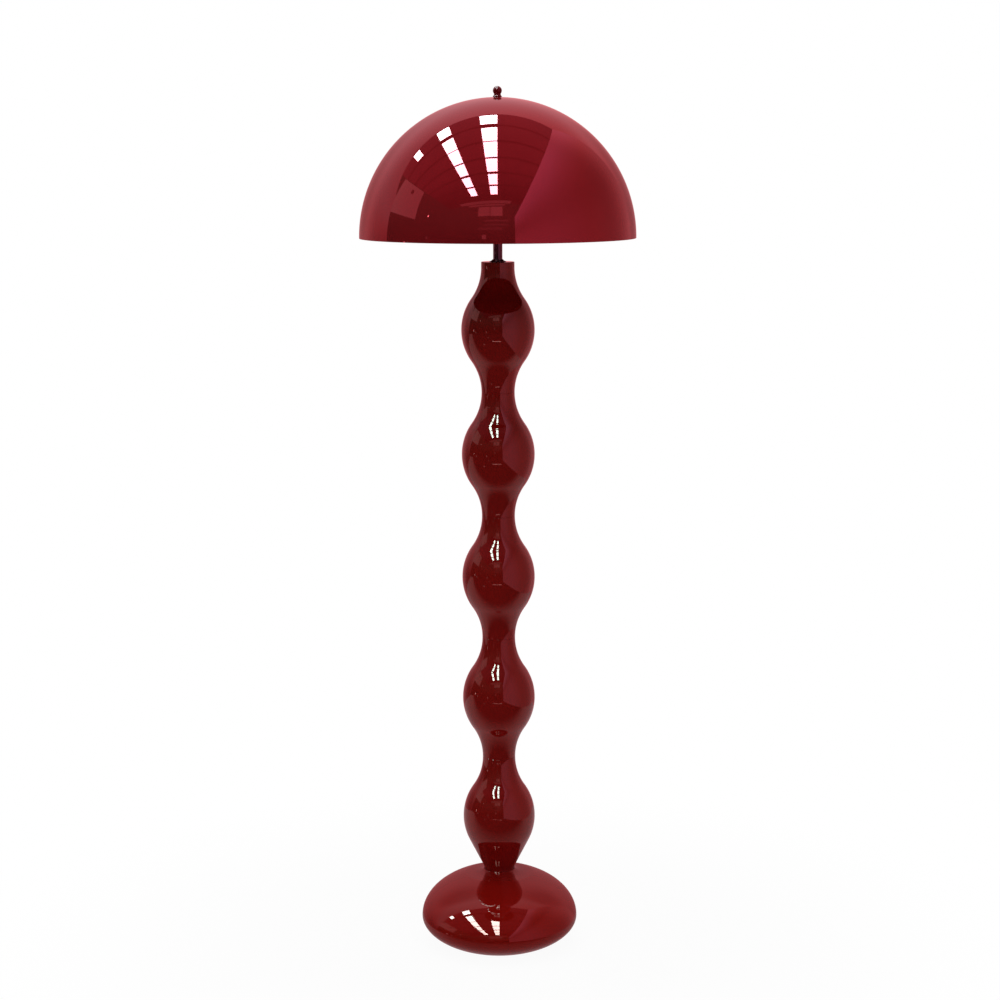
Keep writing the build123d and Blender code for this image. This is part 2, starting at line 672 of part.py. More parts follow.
def make_finial_insert():
    """Brass threaded insert inside the finial."""
    low = finial_low + INSERT_SINK
    return ring(INSERT_RADIUS, STUD_RADIUS + FIT, low, low + INSERT_HEIGHT)


def make_parts():
    """Every piece of the lamp under its node name."""
    parts = {
        "base_shell": make_base_shell(),
        "base_plate": make_base_plate(),
        "plate_screws": make_plate_screws(),
        "foot_pad": make_foot_pad(),
        "ballast": make_ballast(),
        "cord_gland": make_cord_gland(),
        "terminal_block": make_terminal_block(),
        "tie_tube": make_tie_tube(),
        "tie_washer": make_tie_washer(),
        "tie_nut": hex_nut(nut_pocket_top - WASHER_THICKNESS - NUT_HEIGHT),
        "top_washer": make_top_washer(),
        "top_nut": hex_nut(top_pocket_floor + WASHER_THICKNESS),
        "stem_tube": make_stem_tube(),
        "stem_collar": make_stem_collar(),
        "cluster_hub": make_cluster_hub(),
        "hub_cover": make_hub_cover(),
        "hub_set_screw": make_hub_set_screw(),
        "inner_cable": make_inner_cable(),
        "holder_leads": make_holder_leads(),
        "shade": make_shade(),
        "shade_seat": make_shade_seat(),
        "seat_washer": make_seat_washer(),
        "shade_stud": make_shade_stud(),
        "finial": make_finial(),
        "finial_insert": make_finial_insert(),
    }
    for number in range(1, BULB_COUNT + 1):
        parts[f"column_bulb_{number}"] = make_column_bulb(number)
    for number, angle in enumerate(lamp_angles, start=1):
        parts[f"arm_{number}"] = make_arm(angle)
        parts[f"holder_cap_{number}"] = make_holder_cap(angle)
        parts[f"holder_body_{number}"] = make_holder_body(angle)
        parts[f"holder_contact_{number}"] = make_holder_contact(angle)
        parts[f"lamp_cap_{number}"] = make_bulb_cap(angle)
        parts[f"lamp_contact_{number}"] = make_bulb_contact(angle)
        parts[f"lamp_globe_{number}"] = make_bulb_globe(angle)
    return parts


os.makedirs("parts", exist_ok=True)
for node, solid in make_parts().items():
    export_step(solid, f"parts/{node}.step")
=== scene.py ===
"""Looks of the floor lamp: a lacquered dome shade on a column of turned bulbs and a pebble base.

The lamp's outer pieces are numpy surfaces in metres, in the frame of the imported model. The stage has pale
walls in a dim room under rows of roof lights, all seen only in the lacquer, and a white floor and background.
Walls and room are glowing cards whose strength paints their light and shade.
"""
import functools
import json
import math

import bmesh
import bpy
import numpy as np
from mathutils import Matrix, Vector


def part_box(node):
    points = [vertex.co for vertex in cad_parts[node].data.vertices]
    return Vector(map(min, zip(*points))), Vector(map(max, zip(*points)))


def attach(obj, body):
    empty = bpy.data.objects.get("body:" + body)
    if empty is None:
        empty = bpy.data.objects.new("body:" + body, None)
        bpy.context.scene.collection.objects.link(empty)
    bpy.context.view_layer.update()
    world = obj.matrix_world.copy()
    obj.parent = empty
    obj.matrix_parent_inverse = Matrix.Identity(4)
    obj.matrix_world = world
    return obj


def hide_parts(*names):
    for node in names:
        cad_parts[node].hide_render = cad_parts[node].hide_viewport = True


bl_info = {
    "name": "Floor lamp looks",
    "version": (1, 0, 0),
    "blender": (4, 5, 0),
    "location": "View3D > Sidebar > Floor lamp",
    "description": "Builds the lacquered surfaces of a dome floor lamp and the studio round it",
    "category": "Object",
}

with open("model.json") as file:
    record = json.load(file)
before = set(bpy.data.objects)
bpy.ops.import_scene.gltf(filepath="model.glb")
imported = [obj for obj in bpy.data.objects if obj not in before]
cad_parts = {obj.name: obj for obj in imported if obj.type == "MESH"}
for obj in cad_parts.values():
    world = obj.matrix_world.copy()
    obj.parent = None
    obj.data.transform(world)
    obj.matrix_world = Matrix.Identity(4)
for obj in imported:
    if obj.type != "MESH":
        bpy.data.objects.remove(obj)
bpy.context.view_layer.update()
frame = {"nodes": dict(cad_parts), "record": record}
LAMPS = (1, 2, 3)
COLUMN = (1, 2, 3, 4, 5)
TURN = 2.0 * math.pi
# Gap in metres between a bore and what passes through it.
CLEARANCE = 0.0001
# Points nearer than this to each other, or to the axis, count as one.
SAME_POINT = 1e-7
# Corner angle from which an edge is shaded sharp.
SHARP_CORNER = math.radians(35.0)
# Range that most values of a noise fall in.
NOISE_MIDDLE = (0.3, 0.7)
# Waves in each lacquer, as waves per metre and height in metres, longest first.
LACQUER_WAVES = {
    "shade": ((22.0, 0.00003), (620.0, 0.0000012)),
    "column": ((24.0, 0.00010), (75.0, 0.00007), (620.0, 0.0000015)),
    "base": ((22.0, 0.00004), (620.0, 0.0000015)),
    "stem": ((30.0, 0.00002), (620.0, 0.0000015)),
    "finial": ((60.0, 0.00001), (620.0, 0.0000015)),
}


@functools.cache
def box(node):
    """Lowest and highest corner of a CAD node, read once."""
    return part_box(node)


def low(node):
    """Lowest height of a CAD node."""
    return box(node)[0].z


def high(node):
    """Highest height of a CAD node."""
    return box(node)[1].z


def half_width(node):
    """Half the wider of a CAD node's two level sides."""
    corner_low, corner_high = box(node)
    return max(corner_high.x - corner_low.x, corner_high.y - corner_low.y) / 2.0


def centre_of(node):
    """Middle of a CAD node in plan."""
    corner_low, corner_high = box(node)
    return (corner_low.x + corner_high.x) / 2.0, (corner_low.y + corner_high.y) / 2.0


def length_prop(name, description, default):
    """A size in metres that a user may change."""
    return bpy.props.FloatProperty(
        name=name, description=description, default=default, min=0.0, precision=5, unit="LENGTH"
    )


def colour_prop(name, description, default):
    """A linear colour that a user may change."""
    return bpy.props.FloatVectorProperty(
        name=name, description=description, default=default, size=3, min=0.0, max=1.0, subtype="COLOR"
    )


def level_prop(name, description, default, top=100.0):
    """A plain number that a user may change."""
    return bpy.props.FloatProperty(name=name, description=description, default=default, min=0.0, max=top)


class LacquerSettings(bpy.types.PropertyGroup):
    """Deep red gloss lacquer, shared by shade, column, base and finial."""

    shade_colour: colour_prop("Shade red", "Body colour of the shade", (0.165, 0.0055, 0.0075))
    column_colour: colour_prop("Column red", "Body colour of the column", (0.158, 0.0034, 0.0026))
    base_colour: colour_prop("Base red", "Body colour of the base", (0.190, 0.0040, 0.0024))
    stem_colour: colour_prop("Stem brown", "Body colour of the stem", (0.068, 0.0062, 0.0115))
    shade_tint: colour_prop("Shade mirror", "Tint of head-on reflections in the shade", (1.0, 0.16, 0.20))
    column_tint: colour_prop("Column mirror", "Tint of head-on reflections in the column", (1.0, 0.55, 0.48))
    base_tint: colour_prop("Base mirror", "Tint of head-on reflections in the base", (1.0, 0.36, 0.33))
    finial_colour: colour_prop("Finial red", "Body colour of the finial", (0.085, 0.0016, 0.0022))
    finial_tint: colour_prop("Finial mirror", "Tint of head-on reflections in the finial", (1.0, 0.34, 0.36))
    stem_tint: colour_prop("Stem mirror", "Tint of head-on reflections in the stem", (0.85, 0.48, 0.62))
    shade_index: level_prop("Shade index", "Refractive index of the shade's lacquer", 1.80, 3.0)
    column_index: level_prop("Column index", "Refractive index of the column's lacquer", 1.46, 3.0)
    base_index: level_prop("Base index", "Refractive index of the base's lacquer", 1.47, 3.0)
    stem_index: level_prop("Stem index", "Refractive index of the stem's lacquer", 1.50, 3.0)
    finial_index: level_prop("Finial index", "Refractive index of the finial's lacquer", 1.40, 3.0)
    base_growth: level_prop("Base growth", "Growth of the base's upward shading normal", 1.65, 5.0)
    base_lean: level_prop("Base lean", "Upward lean of the base's shading normal at the sides", 0.34, 1.0)
    roughness: level_prop("Roughness", "Mean roughness of the polished lacquer", 0.018, 1.0)
    finial_roughness: level_prop("Finial roughness", "Mean roughness of the finial's lacquer", 0.12, 1.0)


class ShadeSettings(bpy.types.PropertyGroup):
    """Sizes of the dome shade and finial."""

    wall: length_prop("Wall", "Thickness of the spun metal", 0.0010)
    skirt: length_prop("Skirt", "Straight height above the rim", 0.0006)
    bead: length_prop("Rim bead", "Radius of the curled rim", 0.0013)
    hole: length_prop("Crown hole", "Radius of the hole for the stud", 0.0033)
    inside: colour_prop("Inside red", "Satin paint inside the shade", (0.105, 0.0040, 0.0048))
    ball: length_prop("Finial ball", "Radius of the finial's ball", 0.0073)
    waist: length_prop("Finial waist", "Radius of the finial's waist", 0.0054)
    foot: length_prop("Finial foot", "Radius of the finial's flared foot", 0.0073)
    foot_edge: length_prop("Foot edge", "Height of the foot's straight edge", 0.0012)
    finial_bore: length_prop("Finial bore", "Radius of the hole for the threaded insert", 0.0041)
    seat_gap: length_prop("Seat gap", "Clearance between the crown and the finial's foot", 0.00003)


class ColumnSettings(bpy.types.PropertyGroup):
    """Sizes of the turned column and the stem."""

    bulb: length_prop("Bulb radius", "Widest radius of a bulb", 0.0601)
    neck: length_prop("Neck radius", "Narrowest radius between bulbs", 0.0272)
    pitch: length_prop("Pitch", "Height from one bulb to the next", 0.2051)
    foot: length_prop("Foot radius", "Radius where the lowest bulb stands on the base", 0.0260)
    foot_land: length_prop("Foot land", "Straight height at the lowest bulb's foot", 0.005)
    seam: length_prop("Seam", "Broken edge at each joint between bulbs", 0.0003)
    bore: length_prop("Bore", "Radius of the hole for the tie tube", 0.0053)
    pocket: length_prop("Pocket", "Radius of the nut pocket in the column's top", 0.0115)
    pocket_depth: length_prop("Pocket depth", "Depth of the nut pocket", 0.014)
    stem: length_prop("Stem radius", "Outer radius of the stem", 0.0076)
    stem_bore: length_prop("Stem bore", "Inner radius of the stem", 0.0051)


class BaseSettings(bpy.types.PropertyGroup):
    """Sizes of the pebble base."""

    radius: length_prop("Radius", "Widest radius of the pebble", 0.131)
    belly: length_prop("Belly height", "Height of the widest line", 0.0475)
    rise: length_prop("Upper rise", "Height of the upper half", 0.0816)
    drop: length_prop("Lower drop", "Depth of the lower half", 0.058)
    rim: length_prop("Rim lift", "Height of the lower edge above the floor", 0.001)
    wall: length_prop("Wall", "Thickness of the shell", 0.006)
    collar: length_prop("Collar radius", "Radius of the collar that the column stands on", 0.0264)
    hollow: length_prop("Hollow radius", "Radius where the soft hollow round the collar begins", 0.058)
    hollow_slope: level_prop("Hollow slope", "Degrees that the hollow rises at the collar", 60.0, 90.0)
    outer_pull: length_prop("Outer pull", "Pull of the hollow's curve along the pebble", 0.007)
    inner_pull: length_prop("Inner pull", "Pull of the hollow's curve at the collar", 0.008)
    opening: length_prop("Opening", "Radius of the opening underneath", 0.064)
    plate_recess: length_prop("Plate recess", "Radius of the recess for the plate", 0.0724)
    boss: length_prop("Boss", "Radius of the core boss", 0.024)
    gland_hole: length_prop("Gland hole", "Radius of the hole for the cord gland", 0.0061)


class LampSettings(bpy.types.PropertyGroup):
    """Sizes and colours of the lampholders, lamps and arms."""

    thread_pitch: length_prop("Thread pitch", "Pitch of the screw cap's thread", 0.00363)
    thread_depth: length_prop("Thread depth", "Depth of the screw cap's thread", 0.0008)
    cap_wall: length_prop("Cap wall", "Thickness of the screw cap", 0.001)
    globe_wall: length_prop("Globe wall", "Thickness of the glass", 0.001)
    arm: length_prop("Arm radius", "Outer radius of an arm", 0.005)
    arm_bore: length_prop("Arm bore", "Inner radius of an arm", 0.0034)
    arm_bend: length_prop("Arm bend", "Radius of an arm's bend", 0.014)
    holder_wall: length_prop("Holder wall", "Wall of a lampholder", 0.003)
    holder_neck: length_prop("Holder neck", "Radius of a lampholder's neck", 0.0075)
    socket: length_prop("Socket", "Inner radius of a lampholder", 0.014)
    opal: colour_prop("Opal glass", "Colour of the globes", (0.84, 0.83, 0.80))
    holder_white: colour_prop("Holder white", "Colour of the lampholders", (0.72, 0.70, 0.66))
    paint_white: colour_prop("Paint white", "Colour of hub and arms", (0.74, 0.73, 0.70))


class StageSettings(bpy.types.PropertyGroup):
    """The studio: camera, floor, walls and roof lights."""

    camera_distance: length_prop("Camera distance", "Level distance from the lamp's axis to the camera", 3.70)
    camera_height: length_prop("Camera height", "Height of the camera", 1.3433)
    camera_tilt: level_prop("Camera tilt", "Degrees that the camera looks down", 8.955, 90.0)
    camera_pan: level_prop("Camera pan", "Degrees that the camera looks to the right", 0.063, 90.0)
    camera_roll: level_prop("Camera roll", "Degrees that the camera leans to the right", 0.14, 90.0)
    lens: level_prop("Lens", "Focal length in millimetres", 81.50, 300.0)
    floor: colour_prop("Floor", "Colour of the floor", (0.80, 0.80, 0.80))
    wall: colour_prop("Wall", "Colour of the studio walls in the lacquer", (1.0, 0.33, 0.36))
    roof_light: level_prop("Roof light", "Brightness of the roof lights in the lacquer", 35.0, 500.0)
    ambient: level_prop("Ambient", "Brightness of the soft light from all round", 0.28)
    overhead: level_prop("Overhead power", "Power of the soft light overhead, in watts", 290.0, 5000.0)


GROUPS = {
    "lamp_lacquer": LacquerSettings,
    "lamp_shade": ShadeSettings,
    "lamp_column": ColumnSettings,
    "lamp_base": BaseSettings,
    "lamp_lamps": LampSettings,
    "lamp_stage": StageSettings,
}


def ellipse(centre, wide, tall, start, end, count):
    """Points on an ellipse of (radius, height), from one angle in degrees to another."""
    angle = np.radians(np.linspace(start, end, count))
    return np.column_stack([centre[0] + wide * np.cos(angle), centre[1] + tall * np.sin(angle)])


def arc(centre, radius, start, end, count):
    """Points on a circle of (radius, height) about a centre, from one angle in degrees to another."""
    return ellipse(centre, radius, radius, start, end, count)


def curve(first, pull_first, pull_last, last, count):
    """Points on a cubic curve from first to last, leaving and arriving along the two pulls."""
    t = np.linspace(0.0, 1.0, count)[:, None]
    corners = [np.asarray(point, float) for point in (first, pull_first, pull_last, last)]
    weights = [(1 - t) ** 3, 3 * t * (1 - t) ** 2, 3 * t ** 2 * (1 - t), t ** 3]
    return sum(weight * corner for weight, corner in zip(weights, corners))


def chain(*runs):
    """One profile from runs of points, with repeated points dropped."""
    points = np.vstack([np.atleast_2d(np.asarray(run, float)) for run in runs])
    step = np.linalg.norm(np.diff(points, axis=0), axis=1)
    return points[np.concatenate([[True], step > SAME_POINT])]


def grid_faces(rows, columns, wrap_rows):
    """Quads of a grid whose columns wrap round, with rows that wrap where the profile is closed."""
    row = np.arange(rows if wrap_rows else rows - 1)[:, None]
    column = np.arange(columns)[None, :]
    next_row = (row + 1) % rows
    next_column = (column + 1) % columns
    corners = (row * columns + column, row * columns + next_column,
               next_row * columns + next_column, next_row * columns + column)
    return np.stack(corners, axis=-1).reshape(-1, 4)


def smooth(mesh):
    """Shade a mesh smooth, with sharp corners kept."""
    mesh.polygons.foreach_set("use_smooth", np.ones(len(mesh.polygons), bool))
    mesh.set_sharp_from_angle(angle=SHARP_CORNER)
    mesh.update()


def add_mesh(name, points, faces):
    """A smooth-shaded object at the origin from points and faces."""
    mesh = bpy.data.meshes.new(name)
    mesh.from_pydata(np.asarray(points, float).tolist(), [], [list(face) for face in faces])
    mesh.validate()
    smooth(mesh)
    piece = bpy.data.objects.new(name, mesh)
    bpy.context.scene.collection.objects.link(piece)
    return piece


def turned(name, profile, segments, place=(0.0, 0.0), ripple=None):
    """Closed surface of revolution about an upright axis.

    A point (r, z) of the profile at angle a goes to (x + r cos a, y + r sin a, z). The profile is a closed
    loop that runs anticlockwise, or starts and ends on the axis. A ripple of r, z and a adds to r.
    """
    profile = np.asarray(profile, float)
    angle = np.arange(segments) * TURN / segments
    on_axis = [int(profile[end, 0] < SAME_POINT) for end in (0, -1)]
    body = profile[on_axis[0]:len(profile) - on_axis[1]]
    radius = np.repeat(body[:, :1], segments, axis=1)
    height = np.repeat(body[:, 1:], segments, axis=1)
    if ripple is not None:
        radius = radius + ripple(radius, height, angle[None, :])
    points = np.stack([place[0] + radius * np.cos(angle), place[1] + radius * np.sin(angle), height], axis=-1)
    points = points.reshape(-1, 3)
    faces = grid_faces(len(body), segments, not any(on_axis)).tolist()
    ring = np.arange(segments)
    following = (ring + 1) % segments
    if on_axis[0]:
        pole = len(points)
        points = np.vstack([points, [place[0], place[1], profile[0, 1]]])
        faces += np.column_stack([np.full(segments, pole), following, ring]).tolist()
    if on_axis[1]:
        pole = len(points)
        last = (len(body) - 1) * segments
        points = np.vstack([points, [place[0], place[1], profile[-1, 1]]])
        faces += np.column_stack([np.full(segments, pole), last + ring, last + following]).tolist()
    return add_mesh(name, points, faces)


def swept(path, outer, inner, sides=48):
    """Points and faces of a tube carried along a path in the plane of X and Z.

    At each path point the section stands square to the path: a point at angle a goes to
    p + r (cos a) across + r (sin a) sideways, outer wall first, then back along the inner wall.
    """
    path = np.asarray(path, float)
    forward = np.gradient(path, axis=0)
    forward /= np.linalg.norm(forward, axis=1)[:, None]
    sideways = np.array([0.0, 1.0, 0.0])
    across = np.cross(sideways, forward)
    angle = np.arange(sides) * TURN / sides
    round_points = across[:, None, :] * np.cos(angle)[None, :, None] + sideways * np.sin(angle)[None, :, None]
    outside = path[:, None, :] + outer * round_points
    inside = path[::-1, None, :] + inner * round_points[::-1]
    points = np.concatenate([outside, inside]).reshape(-1, 3)
    return points, grid_faces(2 * len(path), sides, True)


def dress(piece, material):
    """Give a piece one material."""
    piece.data.materials.clear()
    piece.data.materials.append(material)
    return piece


def settle(piece, body, slot, *nodes):
    """Ride a piece on its body and hide the CAD nodes that it stands for. The slot is not used."""
    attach(piece, body)
    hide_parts(*nodes)
    return piece


def new_material(name):
    """A node material with its node tree and shader at hand."""
    material = bpy.data.materials.new(name)
    material.use_nodes = True
    tree = material.node_tree
    return material, tree, tree.nodes["Principled BSDF"]


def noise(tree, scale, detail):
    """Noise on Object coordinates, scale in waves per metre."""
    place = tree.nodes.new("ShaderNodeTexCoord")
    texture = tree.nodes.new("ShaderNodeTexNoise")
    texture.inputs["Scale"].default_value = scale
    texture.inputs["Detail"].default_value = detail
    tree.links.new(place.outputs["Object"], texture.inputs["Vector"])
    return texture.outputs["Fac"]


def ramp(tree, value, span, levels, kind="SMOOTHSTEP"):
    """Carry a value from a span onto two levels, with a smooth or straight step between them."""
    step = tree.nodes.new("ShaderNodeMapRange")
    step.interpolation_type = kind
    step.inputs["From Min"].default_value, step.inputs["From Max"].default_value = span
    step.inputs["To Min"].default_value, step.inputs["To Max"].default_value = levels
    tree.links.new(value, step.inputs["Value"])
    return step.outputs["Result"]


def uneven(tree, scale, detail, levels):
    """A noise whose middle range runs from one level to another."""
    return ramp(tree, noise(tree, scale, detail), NOISE_MIDDLE, levels, "LINEAR")


def blend(tree, factor, first, second):
    """Colour that passes from the first to the second along a factor."""
    mix = tree.nodes.new("ShaderNodeMix")
    mix.data_type = "RGBA"
    mix.inputs["A"].default_value = (*first, 1.0)
    mix.inputs["B"].default_value = (*second, 1.0)
    tree.links.new(factor, mix.inputs["Factor"])
    return mix.outputs["Result"]


def either(tree, factor, first, second):
    """Shader that passes from the first to the second along a factor."""
    mix = tree.nodes.new("ShaderNodeMixShader")
    for socket, source in zip(mix.inputs, (factor, first, second)):
        tree.links.new(source, socket)
    return mix.outputs["Shader"]


def mottle(tree, shader, colour, scale, detail, amount):
    """Vary the body colour gently along a noise, darker and lighter by an amount."""
    darker = [channel * (1 - amount) for channel in colour]
    lighter = [min(channel * (1 + amount), 1.0) for channel in colour]
    factor = uneven(tree, scale, detail, (0.0, 1.0))
    tree.links.new(blend(tree, factor, darker, lighter), shader.inputs["Base Color"])


def polish(tree, shader, scale, detail, levels):
    """Vary the roughness along a noise from one level to another."""
    tree.links.new(uneven(tree, scale, detail, levels), shader.inputs["Roughness"])


def bump(tree, shader, scale, detail, height, earlier=None):
    """Raise the surface along a noise by a height in metres, over an earlier normal if there is one."""
    node = tree.nodes.new("ShaderNodeBump")
    node.inputs["Distance"].default_value = height
    tree.links.new(noise(tree, scale, detail), node.inputs["Height"])
    if earlier is not None:
        tree.links.new(earlier, node.inputs["Normal"])
    tree.links.new(node.outputs["Normal"], shader.inputs["Normal"])
    return node.outputs["Normal"]


def combine(tree, operation, *values):
    """Join plain numbers and node outputs with one arithmetic step."""
    step = tree.nodes.new("ShaderNodeMath")
    step.operation = operation
    for socket, value in zip(step.inputs, values):
        if isinstance(value, float):
            socket.default_value = value
        else:
            tree.links.new(value, socket)
    return step.outputs["Value"]


def lifted_normal(tree, growth, lean):
    """Surface normal turned upwards, so that a steep pebble mirrors the room as a flatter one does.

    The upward part of an upward normal grows by a factor, and a level normal leans up the most.
    """
    place = tree.nodes.new("ShaderNodeNewGeometry")
    parts = tree.nodes.new("ShaderNodeSeparateXYZ")
    tree.links.new(place.outputs["Normal"], parts.inputs["Vector"])
    upward = combine(tree, "MAXIMUM", parts.outputs["Z"], 0.0)
    square = combine(tree, "MULTIPLY", parts.outputs["Z"], parts.outputs["Z"])
    side = combine(tree, "MULTIPLY_ADD", square, -lean, lean)
    lift = tree.nodes.new("ShaderNodeCombineXYZ")
    tree.links.new(combine(tree, "MULTIPLY_ADD", upward, growth - 1.0, side), lift.inputs["Z"])
    total = tree.nodes.new("ShaderNodeVectorMath")
    tree.links.new(place.outputs["Normal"], total.inputs[0])
    tree.links.new(lift.outputs["Vector"], total.inputs[1])
    unit = tree.nodes.new("ShaderNodeVectorMath")
    unit.operation = "NORMALIZE"
    tree.links.new(total.outputs["Vector"], unit.inputs[0])
    return unit.outputs["Vector"]


def lacquer(kind):
    """Polished lacquer: red body, tinted mirror, fine orange peel and the long faint waves of hand work."""
    finish = bpy.context.scene.lamp_lacquer
    material, tree, shader = new_material(f"polished_{kind}_lacquer")
    shader.inputs["IOR"].default_value = getattr(finish, f"{kind}_index")
    shader.inputs["Specular IOR Level"].default_value = 1.0
    shader.inputs["Specular Tint"].default_value = (*getattr(finish, f"{kind}_tint"), 1.0)
    mottle(tree, shader, getattr(finish, f"{kind}_colour"), scale=9.0, detail=3.0, amount=0.07)
    roughness = getattr(finish, f"{kind}_roughness", finish.roughness)
    polish(tree, shader, scale=60.0, detail=4.0, levels=(roughness * 0.7, roughness * 1.3))
    waves = None
    if kind == "base":
        waves = lifted_normal(tree, finish.base_growth, finish.base_lean)
    for scale, height in LACQUER_WAVES[kind]:
        waves = bump(tree, shader, scale, 1.0, height, waves)
    return material


def paint(name, colour, roughness=0.45, grain=700.0, height=0.00002):
    """Powder coat or moulded plastic with a fine grain and slight unevenness in colour and gloss."""
    material, tree, shader = new_material(name)
    mottle(tree, shader, colour, scale=14.0, detail=3.0, amount=0.04)
    polish(tree, shader, scale=90.0, detail=3.0, levels=(roughness * 0.85, roughness * 1.15))
    bump(tree, shader, grain, 2.0, height)
    return material


def metal(name, colour, roughness=0.3):
    """Bare or plated metal with uneven polish."""
    material, tree, shader = new_material(name)
    shader.inputs["Metallic"].default_value = 1.0
    mottle(tree, shader, colour, scale=60.0, detail=4.0, amount=0.10)
    polish(tree, shader, scale=220.0, detail=4.0, levels=(roughness * 0.7, roughness * 1.4))
    bump(tree, shader, scale=900.0, detail=2.0, height=0.000006)
    return material


def opal_glass(name, colour):
    """White diffusing glass: milky body with a smooth glossy skin."""
    material, tree, shader = new_material(name)
    shader.inputs["Subsurface Weight"].default_value = 0.35
    shader.inputs["Subsurface Scale"].default_value = 0.004
    shader.inputs["Coat Weight"].default_value = 0.5
    shader.inputs["Coat Roughness"].default_value = 0.05
    mottle(tree, shader, colour, scale=25.0, detail=2.0, amount=0.02)
    polish(tree, shader, scale=120.0, detail=3.0, levels=(0.22, 0.32))
    return material


def red(kind):
    """The lacquer of one group of pieces, made once."""
    return bpy.data.materials.get(f"polished_{kind}_lacquer") or lacquer(kind)


class LAMP_OT_shade(bpy.types.Operator):
    """Build the dome shade, glossy outside and satin inside, with its curled rim"""

    bl_idname = "lamp.build_shade"
    bl_label = "Build shade"
    SEGMENTS = 288

    def execute(self, context):
        sizes = context.scene.lamp_shade
        rim = low("shade")
        centre = (0.0, rim + sizes.skirt)
        radius = round(half_width("shade"), 3)
        inner = radius - sizes.wall
        middle = radius - sizes.wall / 2
        hole_outside = math.degrees(math.acos(sizes.hole / radius))
        hole_inside = math.degrees(math.acos(sizes.hole / inner))
        outside = chain(
            arc((middle - sizes.bead, rim + sizes.bead), sizes.bead, 150, 270, 12),
            arc((middle, rim + sizes.wall / 2), sizes.wall / 2, 270, 360, 6),
            (radius, centre[1]),
            arc(centre, radius, 0, hole_outside, 160),
        )
        inside = chain(arc(centre, inner, hole_inside, 0, 90), (inner, rim + 2 * sizes.bead))
        piece = turned("shade_dome", chain(outside, inside), segments=self.SEGMENTS)
        piece.data.materials.append(red("shade"))
        piece.data.materials.append(paint("shade_inside_paint", sizes.inside, 0.5))
        rows = np.arange(len(piece.data.polygons)) // self.SEGMENTS
        piece.data.polygons.foreach_set("material_index", (rows >= len(outside)).astype(np.int32))
        settle(piece, "shade", "shade_lacquer", "shade")
        return {"FINISHED"}


class LAMP_OT_finial(bpy.types.Operator):
    """Build the turned finial: flared foot, waist and ball"""

    bl_idname = "lamp.build_finial"
    bl_label = "Build finial"
    # Rounded edge, and the pulls of the flare's curve at foot and waist.
    ROUND = 0.0004
    FOOT_PULL = (0.0012, 0.0008)
    WAIST_PULL = 0.0014

    def execute(self, context):
        sizes = context.scene.lamp_shade
        foot = high("shade") + sizes.seat_gap
        ball = high("finial") - sizes.ball
        under = math.degrees(math.acos(sizes.waist / sizes.ball))
        neck = ball - sizes.ball * math.sin(math.radians(under))
        edge = foot + sizes.foot_edge
        bore_top = high("finial_insert") + CLEARANCE
        profile = chain(
            (0.0, bore_top), (sizes.finial_bore, bore_top), (sizes.finial_bore, foot),
            arc((sizes.foot - self.ROUND, foot + self.ROUND), self.ROUND, 270, 360, 5),
            curve((sizes.foot, edge), (sizes.foot - self.FOOT_PULL[0], edge + self.FOOT_PULL[1]),
                  (sizes.waist, neck - self.WAIST_PULL), (sizes.waist, neck), 24),
            arc((0.0, ball), sizes.ball, -under, 90, 60),
        )
        profile[-1, 0] = 0.0
        piece = turned("finial_knob", profile, segments=128)
        dress(piece, red("finial"))
        settle(piece, "finial_knob", "finial_lacquer", "finial")
        return {"FINISHED"}


class LAMP_OT_stem(bpy.types.Operator):
    """Build the stem tube and the conical ring at its foot"""

    bl_idname = "lamp.build_stem"
    bl_label = "Build stem"
    # Rounded edge, and the lands and pulls of the ring's curve at foot and top.
    ROUND = 0.0004
    RING_LAND = 0.0009
    RING_PULL = (0.003, 0.0016)
    TOP_LAND = 0.0008
    TOP_PULL = (0.0016, 0.0012)

    def execute(self, context):
        sizes = context.scene.lamp_column
        foot, top = low("stem_tube"), high("stem_tube")
        tube = turned("stem", chain((sizes.stem_bore, foot), (sizes.stem, foot), (sizes.stem, top),
                                    (sizes.stem_bore, top)), segments=96)
        settle(dress(tube, red("stem")), "stand", "stem_lacquer", "stem_tube")
        ring_low, ring_top = low("stem_collar"), high("stem_collar")
        wide = half_width("stem_collar")
        inner = sizes.stem + CLEARANCE
        edge = wide - self.ROUND
        ring = turned("stem_ring", chain(
            (inner, ring_low),
            arc((edge, ring_low + self.ROUND), self.ROUND, 270, 380, 6),
            curve((edge, ring_low + self.RING_LAND),
                  (wide - self.RING_PULL[0], ring_low + self.RING_PULL[1]),
                  (inner + self.TOP_PULL[0], ring_top - self.TOP_PULL[1]),
                  (inner + self.TOP_LAND, ring_top), 14),
            (inner, ring_top),
        ), segments=96)
        settle(dress(ring, red("stem")), "stand", "stem_lacquer", "stem_collar")
        return {"FINISHED"}


